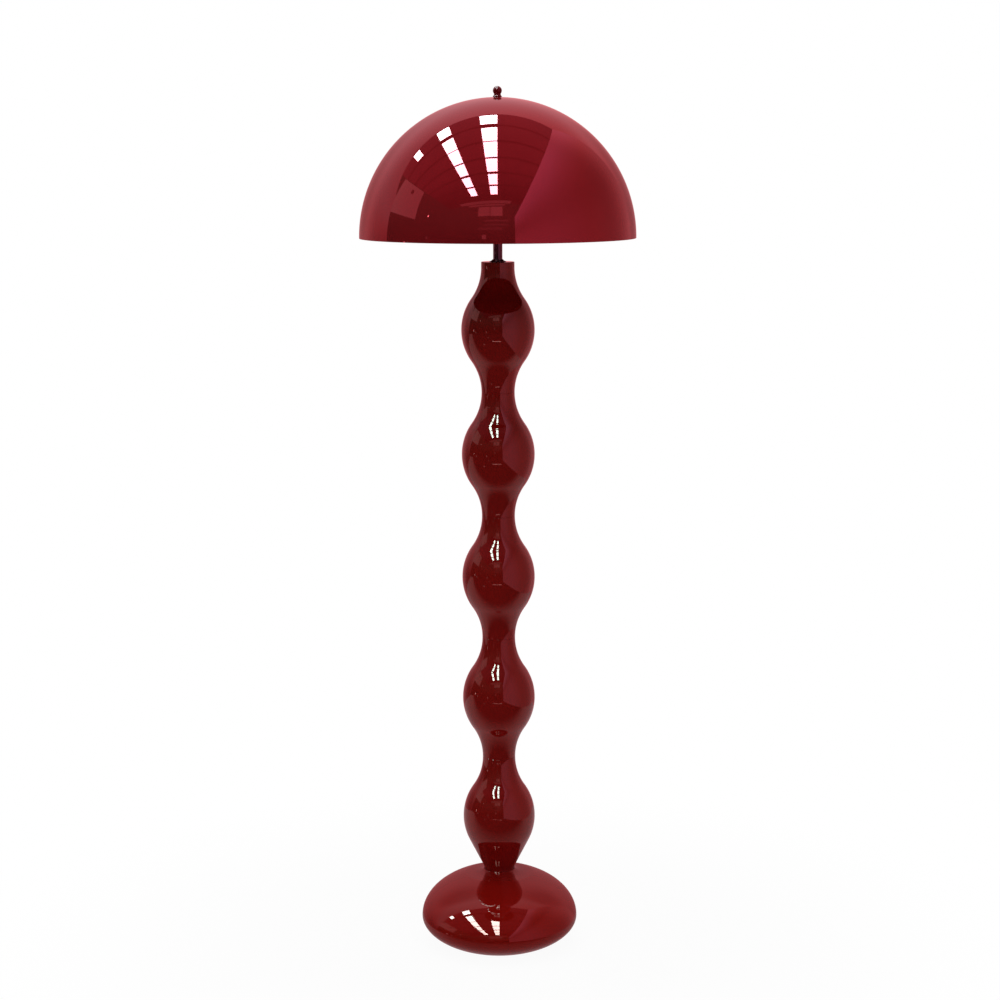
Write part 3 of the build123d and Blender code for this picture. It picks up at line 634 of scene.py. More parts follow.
class LAMP_OT_column(bpy.types.Operator):
    """Build the turned bulbs of the column, neck to neck"""

    bl_idname = "lamp.build_column"
    bl_label = "Build column"

    def execute(self, context):
        for number in COLUMN:
            profile = self.profile(context.scene.lamp_column, number)
            piece = turned(f"column_turning_{number}", profile, segments=192)
            settle(dress(piece, red("column")), "stand", "column_lacquer", f"column_bulb_{number}")
        return {"FINISHED"}

    def profile(self, sizes, number):
        """Two equal tangent arcs from bulb to neck. The lowest bulb runs down a straight cone to its foot."""
        half = sizes.pitch / 2
        foot = low("column_bulb_1")
        top = high(f"column_bulb_{COLUMN[-1]}")
        centre = low("column_bulb_2") + half + (number - 2) * sizes.pitch
        swell = sizes.bulb - sizes.neck
        radius = (swell ** 2 + half ** 2) / (4 * swell)
        angle = math.degrees(math.asin(half / 2 / radius))
        inside = sizes.bulb - radius
        if number == 1:
            land = foot + sizes.foot_land
            reach = math.hypot(sizes.foot - inside, centre - land)
            sight = math.degrees(math.atan2(centre - land, sizes.foot - inside))
            slope = sight - math.degrees(math.acos(radius / reach))
            bottom, bottom_radius = foot, sizes.foot
            lower = chain((sizes.foot, land), arc((inside, centre), radius, -slope, 0, 60))
        else:
            bottom, bottom_radius = centre - half, sizes.neck
            lower = chain(
                arc((sizes.neck + radius, bottom), radius, 180, 180 - angle, 50)[1:],
                arc((inside, centre), radius, -angle, 0, 50),
            )
        upper = chain(
            arc((inside, centre), radius, 0, angle, 50),
            arc((sizes.neck + radius, centre + half), radius, 180 + angle, 180, 50)[:-1],
        )
        bore = sizes.bore
        start = [(bore, bottom), (bottom_radius - sizes.seam, bottom), (bottom_radius, bottom + sizes.seam)]
        if number == COLUMN[-1]:
            edge = 3 * sizes.seam
            end = chain((sizes.neck, centre + half), (sizes.neck, top - edge),
                        arc((sizes.neck - edge, top - edge), edge, 0, 90, 6),
                        (sizes.pocket, top), (sizes.pocket, top - sizes.pocket_depth),
                        (bore, top - sizes.pocket_depth))
        else:
            top = centre + half
            end = [(sizes.neck, top - sizes.seam), (sizes.neck - sizes.seam, top), (bore, top)]
        return chain(start, lower, upper, end)


class LAMP_OT_base(bpy.types.Operator):
    """Build the pebble base with its collar and the rubber pad under it"""

    bl_idname = "lamp.build_base"
    bl_label = "Build base"
    MERGE = 0.000001
    PAD_EDGE = 0.0006
    LEDGE = 0.010
    HOLE_SIDES = 64
    HOLE_REACH = 0.005

    def execute(self, context):
        sizes = context.scene.lamp_base
        shell = turned("base_pebble", self.profile(sizes), segments=256)
        self.cut_gland_hole(shell, sizes)
        settle(dress(shell, red("base")), "stand", "base_lacquer", "base_shell")
        pad_low, pad_top = low("foot_pad"), high("foot_pad")
        edge = self.PAD_EDGE
        inner = half_width("foot_pad") - edge
        pad = turned("foot_disc", chain(
            (0.0, pad_low),
            arc((inner, pad_low + edge), edge, 270, 360, 5),
            arc((inner, pad_top - edge), edge, 0, 90, 5),
            (0.0, pad_top),
        ), segments=192)
        rubber = paint("pad_rubber", (0.022, 0.022, 0.024), 0.7, 1400.0, 0.00008)
        settle(dress(pad, rubber), "stand", "black_rubber", "foot_pad")
        return {"FINISHED"}

    def profile(self, sizes):
        """Closed loop: lower edge, two half ellipses, soft hollow, collar, bore, inner hollow and ledge."""
        centre = (0.0, sizes.belly)
        plate_top = high("base_plate")
        ballast_top = high("ballast")
        ledge = plate_top + self.LEDGE
        top = low("column_bulb_1")
        bore = bpy.context.scene.lamp_column.bore
        rim_angle = math.degrees(math.asin((sizes.belly - sizes.rim) / sizes.drop))
        inner_wide, inner_up = sizes.radius - sizes.wall, sizes.rise - sizes.wall
        inner_down = sizes.drop - sizes.wall
        boss_angle = math.degrees(math.acos(sizes.boss / inner_wide))
        ledge_angle = math.degrees(math.asin((sizes.belly - ledge) / inner_down))
        return chain(
            (sizes.plate_recess, plate_top), (sizes.plate_recess, sizes.rim),
            ellipse(centre, sizes.radius, sizes.drop, -rim_angle, 0, 60),
            self.upper_half(sizes, centre, top),
            (bore, top), (bore, ballast_top), (sizes.boss, ballast_top),
            ellipse(centre, inner_wide, inner_up, boss_angle, 0, 40),
            ellipse(centre, inner_wide, inner_down, 0, -ledge_angle, 24),
            (sizes.opening, ledge), (sizes.opening, plate_top),
        )

    def upper_half(self, sizes, centre, top):
        """Upper ellipse as far as the hollow, then a cubic curve along it and up to the collar."""
        touch = math.acos(sizes.hollow / sizes.radius)
        pebble = ellipse(centre, sizes.radius, sizes.rise, 0, math.degrees(touch), 90)
        lead = np.array([-sizes.radius * math.sin(touch), sizes.rise * math.cos(touch)])
        lead *= sizes.outer_pull / np.linalg.norm(lead)
        lean = math.radians(sizes.hollow_slope)
        collar = np.array([sizes.collar, top])
        pull = sizes.inner_pull * np.array([math.cos(lean), -math.sin(lean)])
        return chain(pebble, curve(pebble[-1], pebble[-1] + lead, collar + pull, collar, 60))

    def cut_gland_hole(self, shell, sizes):
        """Cut the hole that the cord gland fills at the back of the shell."""
        corner_low, corner_high = box("cord_gland")
        height = (corner_low.z + corner_high.z) / 2
        sides = self.HOLE_SIDES
        angle = np.arange(sides) * TURN / sides
        round_points = np.stack([sizes.gland_hole * np.cos(angle), np.zeros(sides),
                                 height + sizes.gland_hole * np.sin(angle)], axis=-1)
        near = round_points + [0.0, corner_low.y - self.HOLE_REACH, 0.0]
        far = round_points + [0.0, corner_high.y + self.HOLE_REACH, 0.0]
        faces = grid_faces(2, sides, False).tolist()
        faces += [list(range(sides - 1, -1, -1)), list(range(sides, 2 * sides))]
        cutter = add_mesh("gland_cutter", np.concatenate([near, far]), faces)
        cut = shell.modifiers.new("gland_hole", "BOOLEAN")
        cut.operation = "DIFFERENCE"
        cut.solver = "EXACT"
        cut.object = cutter
        graph = bpy.context.evaluated_depsgraph_get()
        mesh = bpy.data.meshes.new_from_object(shell.evaluated_get(graph))
        shell.modifiers.clear()
        shell.data = mesh
        merged = bmesh.new()
        merged.from_mesh(mesh)
        bmesh.ops.remove_doubles(merged, verts=merged.verts, dist=self.MERGE)
        merged.to_mesh(mesh)
        merged.free()
        smooth(mesh)
        bpy.data.objects.remove(cutter)


class LAMP_OT_cluster(bpy.types.Operator):
    """Build the hub on the stem, its lid, the bent arms and the lampholders"""

    bl_idname = "lamp.build_cluster"
    bl_label = "Build cluster"
    HUB_EDGE = 0.0012
    LID_CHAMFER = 0.0003
    LID_EDGE = 0.0015
    # Straight lead of an arm into its bend.
    BEND_LEAD = 0.001
    # Groove between cup and sleeve, straight neck, and the pulls of the cup's curve at neck and skirt.
    GROOVE = 0.0004
    NECK_HEIGHT = 0.005
    NECK_PULL = (0.006, 0.0015)
    SKIRT_PULL = (0.001, 0.005)
    CUP_FLOOR = 0.006
    SLEEVE_START = 0.002
    SLEEVE_EDGE = 0.003
    SLEEVE_STEPS = 120
    SEAT_DEPTH = 0.002
    # Plain heights below and above the grip rings.
    RING_ENDS = (0.010, 0.006)
    RING_PITCH = 0.0032
    RING_DEPTH = 0.0005

    def execute(self, context):
        sizes = context.scene.lamp_lamps
        bore = context.scene.lamp_column.stem + CLEARANCE
        white = paint("cluster_paint", sizes.paint_white, 0.35)
        hub_low, hub_top = low("cluster_hub"), high("cluster_hub")
        wide = half_width("cluster_hub")
        edge = self.HUB_EDGE
        wall = sizes.holder_wall
        hub = turned("hub_cup", chain(
            (bore, hub_low), arc((wide - edge, hub_low + edge), edge, 270, 360, 6), (wide, hub_top),
            (wide - wall, hub_top), (wide - wall, hub_low + wall), (bore, hub_low + wall),
        ), segments=128)
        settle(dress(hub, white), "stand", "white_paint", "cluster_hub")
        lid_top = high("hub_cover")
        chamfer, edge = self.LID_CHAMFER, self.LID_EDGE
        lid = turned("hub_lid", chain(
            (bore, hub_top), (wide - chamfer, hub_top), (wide, hub_top + chamfer),
            arc((wide - edge, lid_top - edge), edge, 0, 90, 8), (bore, lid_top),
        ), segments=128)
        settle(dress(lid, white), "stand", "white_paint", "hub_cover")
        moulding = paint("holder_moulding", sizes.holder_white, 0.28, 300.0, 0.00001)
        for number in LAMPS:
            self.arm(sizes, number, white)
            self.holder(sizes, number, moulding)
        return {"FINISHED"}

    def arm(self, sizes, number, material):
        """Level run, bend and short rise, drawn along X and then turned to the lamp's angle."""
        out_x, out_y = centre_of(f"holder_body_{number}")
        reach = math.hypot(out_x, out_y)
        turn = math.atan2(out_y, out_x)
        start = half_width("cluster_hub") - sizes.holder_wall
        height = (low("cluster_hub") + high("cluster_hub")) / 2
        bend = sizes.arm_bend
        plan = chain((start, height), (reach - bend - self.BEND_LEAD, height),
                     arc((reach - bend, height + bend), bend, -90, 0, 25), (reach, high(f"arm_{number}")))
        path = np.column_stack([plan[:, 0], np.zeros(len(plan)), plan[:, 1]])
        points, faces = swept(path, sizes.arm, sizes.arm_bore)
        cosine, sine = math.cos(turn), math.sin(turn)
        spun = np.array([[cosine, -sine, 0], [sine, cosine, 0], [0, 0, 1]])
        piece = add_mesh(f"arm_tube_{number}", points @ spun.T, faces)
        settle(dress(piece, material), "stand", "white_paint", f"arm_{number}")

    def holder(self, sizes, number, material):
        """Cup and sleeve of a lampholder, with a groove at their joint and grip rings on the sleeve."""
        cap, body, pin = (f"holder_{kind}_{number}" for kind in ("cap", "body", "contact"))
        place = centre_of(body)
        foot, joint, top = low(cap), low(body), high(body)
        wide = half_width(body)
        wall, neck, groove = sizes.holder_wall, sizes.holder_neck, self.GROOVE
        bore = sizes.arm + CLEARANCE
        skirt = joint - wall
        flare = foot + self.NECK_HEIGHT
        cup = turned(f"holder_cup_{number}", chain(
            (bore, foot), arc((neck - groove, foot + groove), groove, 270, 360, 4),
            curve((neck, flare), (neck + self.NECK_PULL[0], flare + self.NECK_PULL[1]),
                  (wide - self.SKIRT_PULL[0], skirt - self.SKIRT_PULL[1]), (wide, skirt), 24),
            (wide, joint - groove), (wide - groove, joint), (wide - wall, joint), (wide - 2 * wall, skirt),
            (bore, foot + self.CUP_FLOOR),
        ), segments=96, place=place)
        settle(dress(cup, material), "stand", "holder_plastic", cap)
        ring_low, ring_high = joint + self.RING_ENDS[0], top - self.RING_ENDS[1]
        depth = self.RING_DEPTH

        def rings(radius, height, angle):
            """Grooves into the outer wall: a cosine of height over pitch, between the two ring heights."""
            inside = (height > ring_low) & (height < ring_high) & (radius > wide - depth)
            wave = 0.5 - 0.5 * np.cos((height - ring_low) * TURN / self.RING_PITCH)
            return np.where(inside, -depth * wave, 0.0)

        seat = high(pin) - self.SEAT_DEPTH
        contact = half_width(pin) + CLEARANCE
        edge = self.SLEEVE_EDGE
        rise = np.linspace(joint + self.SLEEVE_START, top - edge, self.SLEEVE_STEPS)
        sleeve = turned(f"holder_sleeve_{number}", chain(
            (contact, joint), (wide - groove, joint), (wide, joint + groove),
            np.column_stack([np.full(len(rise), wide), rise]),
            arc((wide - edge, top - edge), edge, 0, 90, 8),
            (sizes.socket, top), (sizes.socket, seat), (contact, seat),
        ), segments=96, place=place, ripple=rings)
        settle(dress(sleeve, material), "stand", "holder_plastic", body)


class LAMP_OT_lamps(bpy.types.Operator):
    """Build the opal globes and their threaded screw caps"""

    bl_idname = "lamp.build_lamps"
    bl_label = "Build lamps"
    # Pull of the glass's curve between neck and round top, and its flare at the neck.
    GLOBE_PULL = 0.030
    GLOBE_FLARE = 0.002
    # Rows of the cap's mesh, height over which its thread fades, and the plain height above it.
    THREAD_STEPS = 140
    THREAD_FADE = 0.0015
    PLAIN_TOP = 0.0025

    def execute(self, context):
        sizes = context.scene.lamp_lamps
        opal = opal_glass("opal_glass", sizes.opal)
        plated = metal("cap_plating", (0.70, 0.70, 0.69), 0.25)
        for number in LAMPS:
            self.globe(sizes, number, opal)
            self.cap(sizes, number, plated)
        return {"FINISHED"}

    def globe(self, sizes, number, material):
        """Neck, smooth flare and round top, with a thin wall open at the neck."""
        node = f"lamp_globe_{number}"
        wide = half_width(node)
        centre = high(node) - wide
        mouth = low(node)
        shoulder = high(f"lamp_cap_{number}")
        neck = half_width(f"lamp_cap_{number}") - sizes.thread_depth - sizes.cap_wall - CLEARANCE
        wall = sizes.globe_wall
        pull = self.GLOBE_PULL

        def skin(radius, throat):
            """One face of the glass, from its mouth to its top."""
            return chain((throat, mouth),
                         curve((throat, shoulder), (throat + self.GLOBE_FLARE, shoulder + pull),
                               (radius, centre - pull), (radius, centre), 50),
                         arc((0.0, centre), radius, 0, 90, 40))

        outside, inside = skin(wide, neck), skin(wide - wall, neck - wall)
        outside[-1, 0] = inside[-1, 0] = 0.0
        piece = turned(f"globe_{number}", chain(inside[::-1], outside), segments=128, place=centre_of(node))
        settle(dress(piece, material), f"lamp_{number}", "lamp_glass", node)

    def cap(self, sizes, number, material):
        """Rolled sleeve whose radius follows a helix: a cosine of height over pitch less the turn."""
        node = f"lamp_cap_{number}"
        foot, top = low(node), high(node)
        wide = half_width(node)
        inner = wide - sizes.thread_depth - sizes.cap_wall
        rise = np.linspace(foot, top, self.THREAD_STEPS)
        outside = np.column_stack([np.full(len(rise), wide - sizes.thread_depth), rise])

        def thread(radius, height, angle):
            """Crest of the helix on the outer wall, fading out at both ends."""
            turns = (height - foot) / sizes.thread_pitch - angle / TURN
            crest = 0.5 + 0.5 * np.cos(turns * TURN)
            fade_in = np.clip((height - foot) / self.THREAD_FADE, 0, 1)
            fade_out = np.clip((top - self.PLAIN_TOP - height) / self.THREAD_FADE, 0, 1)
            outer = radius > inner + sizes.cap_wall / 2
            return np.where(outer, sizes.thread_depth * crest * fade_in * fade_out, 0.0)

        profile = chain((inner, foot), outside, (inner, top))
        piece = turned(f"screw_cap_{number}", profile, segments=96, place=centre_of(node), ripple=thread)
        settle(dress(piece, material), f"lamp_{number}", "cap_metal", node)


class LAMP_OT_hidden(bpy.types.Operator):
    """Give the remaining pieces their own finishes"""

    bl_idname = "lamp.dress_hidden"
    bl_label = "Dress hidden pieces"

    def execute(self, context):
        # By slot: colour, roughness and, for paint, grain in waves per metre and its height in metres.
        finishes = {
            "zinc_steel": metal("zinc_plate", (0.56, 0.57, 0.58), 0.35),
            "cast_iron": paint("rough_cast_iron", (0.055, 0.055, 0.06), 0.75, 350.0, 0.0003),
            "black_rubber": paint("gland_rubber", (0.020, 0.020, 0.022), 0.6, 1200.0, 0.00004),
            "white_paint": paint("seat_paint", context.scene.lamp_lamps.paint_white, 0.35),
            "ceramic": paint("steatite", (0.76, 0.74, 0.70), 0.6, 900.0, 0.00003),
            "brass": metal("turned_brass", (0.80, 0.58, 0.24), 0.28),
            "cap_insulator": paint("black_insulator", (0.02, 0.02, 0.022), 0.25, 300.0, 0.00001),
            "cable_sheath": paint("grey_sheath", (0.30, 0.30, 0.30), 0.55, 600.0, 0.00002),
            "terminal_plastic": paint("natural_nylon", (0.72, 0.71, 0.66), 0.5, 500.0, 0.00002),
        }
        for row in frame["record"]["subparts"]:
            finish = finishes.get(row["material_slot"])
            if finish is not None:
                dress(frame["nodes"][row["node"]], finish)
        return {"FINISHED"}


def along(tree, ramps):
    """Sum of smooth ramps of (way, span, levels), each along an axis or away from a point."""
    place = tree.nodes.new("ShaderNodeTexCoord").outputs["Object"]
    total = 0.0
    for way, span, levels in ramps:
        if isinstance(way, str):
            parts = tree.nodes.new("ShaderNodeSeparateXYZ")
            tree.links.new(place, parts.inputs["Vector"])
            value = parts.outputs[way]
        else:
            gap = tree.nodes.new("ShaderNodeVectorMath")
            gap.operation = "DISTANCE"
            gap.inputs[1].default_value = way
            tree.links.new(place, gap.inputs[0])
            value = gap.outputs["Value"]
        total = combine(tree, "ADD", total, ramp(tree, value, span, levels))
    return total


def glow(name, colour, strength=1.0, ramps=(), tint=None, tint_ramps=()):
    """A glowing stage finish, whose strength and whose way from its colour to a tint may follow ramps."""
    material, tree, shader = new_material(name)
    tree.nodes.remove(shader)
    light = tree.nodes.new("ShaderNodeEmission")
    light.inputs["Color"].default_value = (*colour, 1.0)
    light.inputs["Strength"].default_value = strength
    tree.links.new(light.outputs["Emission"], tree.nodes["Material Output"].inputs["Surface"])
    if ramps:
        tree.links.new(along(tree, ramps), light.inputs["Strength"])
    if tint_ramps:
        tree.links.new(blend(tree, along(tree, tint_ramps), colour, tint), light.inputs["Color"])
    return material


def card(name, corners, material):
    """A flat stage card that only mirrors see."""
    piece = dress(add_mesh(name, corners, [[0, 1, 2, 3]]), material)
    piece.visible_camera = False
    piece.visible_diffuse = False
    piece.visible_shadow = False


def upright(x0, y0, x1, y1, bottom, top, last_top=None):
    """Corners of an upright card between two points in plan, whose top may slope to another last top."""
    return [(x0, y0, bottom), (x1, y1, bottom), (x1, y1, last_top or top), (x0, y0, top)]


def level(x0, x1, y0, y1, height):
    """Corners of a level card."""
    return [(x0, y0, height), (x1, y0, height), (x1, y1, height), (x0, y1, height)]


class LAMP_OT_stage(bpy.types.Operator):
    """Set up the camera, floor, studio walls, roof lights and soft light"""

    bl_idname = "lamp.build_stage"
    bl_label = "Build stage"

    # Pale walls, in plan and height.
    WALL_BACK = 1.12
    WALL_RIGHT = 1.13
    WALL_LEFT_END = -5.5
    WALL_FRONT_END = -4.58
    WALL_TOP = 3.36
    WALL_TOP_FRONT = 2.71
    # Ramps of each wall's glow strength, which paint light and shade on it, the tint it passes to, and the
    # ramps of that passage.
    BACK_WALL = (
        ("X", (-2.3, -0.4), (0.64, 1.02)),
        ("Z", (0.3, 1.5), (-0.42, 0.0)),
        ((-0.65, WALL_BACK, 1.42), (0.15, 0.75), (-0.40, 0.0)),
        ((0.75, WALL_BACK, 1.42), (0.15, 0.75), (-0.42, 0.0)),
    )
    BACK_TINT = (1.0, 0.60, 0.66)
    BACK_TINTED = (("X", (-0.6, 1.8), (1.0, 0.0)), ("Z", (1.2, 2.2), (-1.0, 0.0)))
    RIGHT_WALL = (
        ("Z", (1.7, 3.3), (0.47, 1.05)),
        ("Z", (1.2, 1.9), (0.21, 0.0)),
        ("Y", (-1.3, 0.9), (0.03, -0.24)),
        ("Y", (0.1, 1.0), (0.0, 0.38)),
    )
    RIGHT_TINT = (1.0, 0.55, 0.85)
    RIGHT_TINTED = (("Z", (1.7, 3.0), (0.22, 1.15)), ("Y", (-1.3, 0.9), (0.25, -0.75)))
    # Floor: its reach, the colour and strength of its painted glow in mirrors, and how far its shadow shows.
    FLOOR_REACH = 9.0
    FLOOR_DROP = 0.0005
    FLOOR_MIRROR = (1.0, 0.60, 0.63)
    # Painted light in mirrors: the floor glows dim in front of the lamp, as painted shade, and brighter
    # behind it.
    FLOOR_GLOW = (("Y", (-0.45, 0.05), (0.07, 0.60)),)
    FLOOR_LIFT = (((0.0, 0.0, 0.0), (0.25, 1.0), (0.95, 1.0)),)
    # The dim room, its beams and the roof lights. Beams and roof lie a little above the lights.
    ROOF = 6.0
    BEAM_LIFT = 0.02
    ROOF_LIFT = 0.05
    ROOM_LEFT = -7.6
    ROOM_RIGHT = 7.0
    ROOM_FRONT = -8.6
    ROOM_BACK = 4.0
    DIM_ROOM = (0.06, 0.09, 0.08)
    ROOM_FADE = (("Z", (0.5, 4.5), (0.4, 1.0)),)
    DIM_ROOF = (0.30, 0.10, 0.13)
    ROOF_FADE = (("Y", (-7.5, -2.0), (0.35, 1.0)),)
    BEAM = 0.16
    BEAM_STRENGTH = 0.3
    ROOF_ROWS = ((-2.90, -2.17), (-0.73, -0.01))
    ROOF_PANELS = (
        (2.65, 1.40), (0.95, -0.36), (-0.45, -1.80), (-1.95, -3.22), (-3.50, -4.80), (-5.05, -6.42),
    )
    LONE_PANEL = (-5.12, -4.40, 1.45, 2.60)
    ROOF_LIGHT = (0.46, 0.98, 0.98)
    PALE = (0.68, 0.50, 0.52)
    # Openings, bars and small lights of the dim room, and one dark patch on the first opening:
    # x0, y0, x1, y1, bottom, top and strength.
    OPENINGS = (
        (-7.5, -2.4, -7.5, 1.6, 2.95, 5.9, 1.0),
        (-2.5, -8.5, -1.0, -8.5, 4.2, 5.5, 0.9),
        (-0.9, -8.5, 0.6, -8.5, 4.2, 5.5, 1.0),
        (-4.0, -8.5, 0.9, -8.5, 5.65, 5.9, 0.7),
        (-1.6, -8.5, 1.3, -8.5, 3.5, 3.65, 0.5),
        (-1.6, -8.5, 1.3, -8.5, 3.0, 3.12, 0.5),
        (-7.4, -1.2, -7.4, -1.05, 0.55, 0.95, 12.0),
        (-7.4, -2.4, -7.4, -2.2, 0.2, 0.5, 3.0),
        (-4.6, -6.0, -4.4, -6.1, 0.3, 0.8, 2.0),
        (-7.5, -4.38, -7.5, -4.24, 3.63, 3.77, 20.0),
        (-7.45, -0.90, -7.45, -0.46, 5.00, 5.44, 0.20),
        (-7.5, -4.50, -7.5, -4.34, 1.25, 1.50, 1.2),
        (-1.9, -8.5, -1.4, -8.5, 1.35, 1.85, 0.8),
        (-2.4, -8.5, 0.6, -8.5, 2.45, 2.75, 0.3),
    )
    # Three pale strips on the floor and one under the roof, glowing as painted light: x0, x1, y0, y1, height
    # and strength.
    STRIPS = (
        (-0.85, 0.40, -2.50, -2.36, 0.001, 5.0),
        (-1.55, -1.35, -1.45, -1.25, 0.001, 1.5),
        (-2.3, -1.9, -3.6, -3.4, 0.001, 1.5),
        (-5.2, 1.7, -8.5, -7.75, 6.01, 0.70),
    )
    # Soft light overhead.
    OVERHEAD_PLACE = (-0.5, -2.0, 5.8)
    OVERHEAD_SIZE = (5.0, 9.0)

    def execute(self, context):
        sizes = context.scene.lamp_stage
        self.camera(context, sizes)
        self.floor(sizes)
        self.walls(sizes)
        self.room()
        self.roof_lights(sizes)
        self.world(context, sizes)
        self.overhead(context, sizes)
        context.scene.view_settings.view_transform = "Standard"
        return {"FINISHED"}

    def camera(self, context, sizes):
        """Camera in front of the lamp, looking slightly down."""
        data = bpy.data.cameras.new("camera")
        data.lens = sizes.lens
        data.sensor_width = 36.0
        data.clip_end = 100.0
        camera = bpy.data.objects.new("camera", data)
        camera.location = (0.0, -sizes.camera_distance, sizes.camera_height)
        camera.rotation_euler = [math.radians(angle) for angle in
                                 (90.0 - sizes.camera_tilt, sizes.camera_roll, -sizes.camera_pan)]
        context.scene.collection.objects.link(camera)
        context.scene.camera = camera

    def floor(self, sizes):
        """Pale floor: white to the camera but for the lamp's shadow, a painted glow in mirrors, clear from
        below.
        """
        reach = self.FLOOR_REACH
        floor = add_mesh("floor", level(-reach, reach, -reach, reach, -self.FLOOR_DROP), [[0, 1, 2, 3]])
        material, tree, shader = new_material("floor_paper")
        shader.inputs["Base Color"].default_value = (*sizes.floor, 1.0)
        shader.inputs["Roughness"].default_value = 0.9
        shader.inputs["Specular IOR Level"].default_value = 0.0
        rays = tree.nodes.new("ShaderNodeLightPath").outputs
        white = tree.nodes.new("ShaderNodeEmission").outputs["Emission"]
        lift = combine(tree, "MULTIPLY", rays["Is Camera Ray"], along(tree, self.FLOOR_LIFT))
        lifted = either(tree, lift, shader.outputs["BSDF"], white)
        # Painted light: the floor's glow in mirrors, dim in front of the lamp as painted shade.
        soft = tree.nodes.new("ShaderNodeEmission")
        soft.inputs["Color"].default_value = (*self.FLOOR_MIRROR, 1.0)
        tree.links.new(along(tree, self.FLOOR_GLOW), soft.inputs["Strength"])
        mirrored = combine(tree, "MAXIMUM", rays["Is Glossy Ray"], rays["Is Transmission Ray"])
        above = either(tree, mirrored, lifted, soft.outputs["Emission"])
        below = tree.nodes.new("ShaderNodeBsdfTransparent").outputs["BSDF"]
        side = tree.nodes.new("ShaderNodeNewGeometry").outputs["Backfacing"]
        tree.links.new(either(tree, side, above, below), tree.nodes["Material Output"].inputs["Surface"])
        dress(floor, material)

    def walls(self, sizes):
        """Pale walls that glow as painted light: the back one dims to the left and beside the shade as
        painted shade, the right one at half height.
        """
        back = glow("back_wall", sizes.wall, 1.0, self.BACK_WALL, self.BACK_TINT, self.BACK_TINTED)
        right = glow("right_wall", sizes.wall, 1.0, self.RIGHT_WALL, self.RIGHT_TINT, self.RIGHT_TINTED)
        card("wall_back", upright(self.WALL_LEFT_END, self.WALL_BACK, self.WALL_RIGHT, self.WALL_BACK, 0.0,
                                  self.WALL_TOP), back)
        card("wall_right", upright(self.WALL_RIGHT, self.WALL_BACK, self.WALL_RIGHT, self.WALL_FRONT_END, 0.0,
                                   self.WALL_TOP, self.WALL_TOP_FRONT), right)

    def room(self):
        """The dim room in front, left and above, with its beams, openings and pale strips, all glowing cards
        that paint its light and shade.
        """
        top = self.ROOF + self.ROOF_LIFT
        left, right, front, back = self.ROOM_LEFT, self.ROOM_RIGHT, self.ROOM_FRONT, self.ROOM_BACK
        dim = glow("dim_room", self.DIM_ROOM, ramps=self.ROOM_FADE)
        corners = ((left, front), (right, front), (right, back), (left, back))
        for side, (start, end) in enumerate(zip(corners, corners[1:] + corners[:1])):
            card(f"room_side_{side}", upright(*start, *end, 0.0, top), dim)
        roof = glow("dim_roof", self.DIM_ROOF, ramps=self.ROOF_FADE)
        card("room_roof", level(left, right, front, back, top), roof)
        dark = glow("dark_beam", self.DIM_ROOF, self.BEAM_STRENGTH)
        beam = self.ROOF + self.BEAM_LIFT
        for number, (near, far) in enumerate(zip(self.ROOF_PANELS, self.ROOF_PANELS[1:])):
            start = (near[1] + far[0] - self.BEAM) / 2
            card(f"roof_beam_{number}", level(left, right, start, start + self.BEAM, beam), dark)
        for number, (*corners, strength) in enumerate(self.OPENINGS):
            card(f"opening_{number}", upright(*corners), glow(f"opening_{number}", self.PALE, strength))
        for number, (*corners, strength) in enumerate(self.STRIPS):
            card(f"strip_{number}", level(*corners), glow(f"strip_{number}", self.PALE, strength))

    def roof_lights(self, sizes):
        """Two rows of roof lights over the lamp and one lone panel further left."""
        bright = glow("roof_light", self.ROOF_LIGHT, sizes.roof_light)
        for row, (left, right) in enumerate(self.ROOF_ROWS):
            for number, (start, end) in enumerate(self.ROOF_PANELS):
                card(f"roof_light_{row}_{number}", level(left, right, end, start, self.ROOF), bright)
        left, right, start, end = self.LONE_PANEL
        card("roof_light_lone", level(left, right, start, end, self.ROOF), bright)

    def world(self, context, sizes):
        """White to the camera, mirrors and glass, and a soft light to everything else."""
        world = bpy.data.worlds.new("studio")
        world.use_nodes = True
        context.scene.world = world
        tree = world.node_tree
        soft = tree.nodes["Background"]
        soft.inputs["Color"].default_value = (1.0, 1.0, 1.0, 1.0)
        soft.inputs["Strength"].default_value = sizes.ambient
        white = tree.nodes.new("ShaderNodeBackground")
        white.inputs["Color"].default_value = (1.0, 1.0, 1.0, 1.0)
        rays = tree.nodes.new("ShaderNodeLightPath").outputs
        seen = combine(tree, "MAXIMUM", rays["Is Camera Ray"], rays["Is Glossy Ray"])
        clear = combine(tree, "MAXIMUM", seen, rays["Is Transmission Ray"])
        both = either(tree, clear, soft.outputs["Background"], white.outputs["Background"])
        tree.links.new(both, tree.nodes["World Output"].inputs["Surface"])

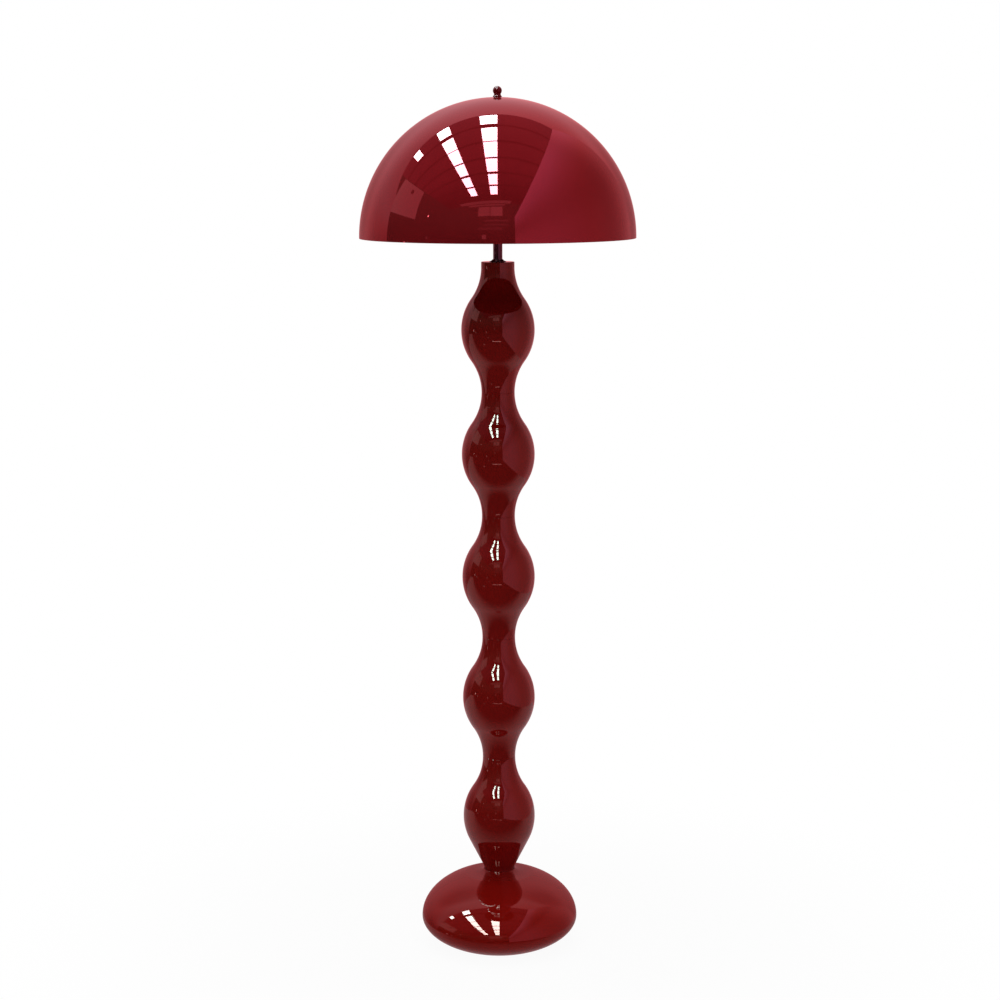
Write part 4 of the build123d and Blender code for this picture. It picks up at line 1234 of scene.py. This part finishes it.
    def overhead(self, context, sizes):
        """Wide soft light under the roof, not mirrored in the lacquer."""
        data = bpy.data.lights.new("overhead", "AREA")
        data.shape = "RECTANGLE"
        data.size, data.size_y = self.OVERHEAD_SIZE
        data.energy = sizes.overhead
        light = bpy.data.objects.new("overhead", data)
        light.location = self.OVERHEAD_PLACE
        light.visible_glossy = False
        light.visible_camera = False
        context.scene.collection.objects.link(light)


class LAMP_PT_looks(bpy.types.Panel):
    """Sidebar panel with the lamp's settings and build steps"""

    bl_idname = "LAMP_PT_looks"
    bl_label = "Floor lamp"
    bl_space_type = "VIEW_3D"
    bl_region_type = "UI"
    bl_category = "Floor lamp"

    def draw(self, context):
        for group in GROUPS:
            rows = self.layout.box()
            settings = getattr(context.scene, group)
            for name in settings.__annotations__:
                rows.prop(settings, name)
        for operator in OPERATORS:
            self.layout.operator(operator.bl_idname)


OPERATORS = (LAMP_OT_shade, LAMP_OT_finial, LAMP_OT_stem, LAMP_OT_column, LAMP_OT_base, LAMP_OT_cluster,
             LAMP_OT_lamps, LAMP_OT_hidden, LAMP_OT_stage)


def register():
    """Add the settings, operators and panel."""
    for name, group in GROUPS.items():
        bpy.utils.register_class(group)
        setattr(bpy.types.Scene, name, bpy.props.PointerProperty(type=group))
    for operator in OPERATORS:
        bpy.utils.register_class(operator)
    bpy.utils.register_class(LAMP_PT_looks)


def unregister():
    """Take the settings, operators and panel away again."""
    bpy.utils.unregister_class(LAMP_PT_looks)
    for operator in reversed(OPERATORS):
        bpy.utils.unregister_class(operator)
    for name, group in GROUPS.items():
        delattr(bpy.types.Scene, name)
        bpy.utils.unregister_class(group)


def main():
    """Build every piece and the stage in order."""
    register()
    bpy.ops.lamp.build_shade()
    bpy.ops.lamp.build_finial()
    bpy.ops.lamp.build_stem()
    bpy.ops.lamp.build_column()
    bpy.ops.lamp.build_base()
    bpy.ops.lamp.build_cluster()
    bpy.ops.lamp.build_lamps()
    bpy.ops.lamp.dress_hidden()
    bpy.ops.lamp.build_stage()


if __name__ == "__main__":
    main()
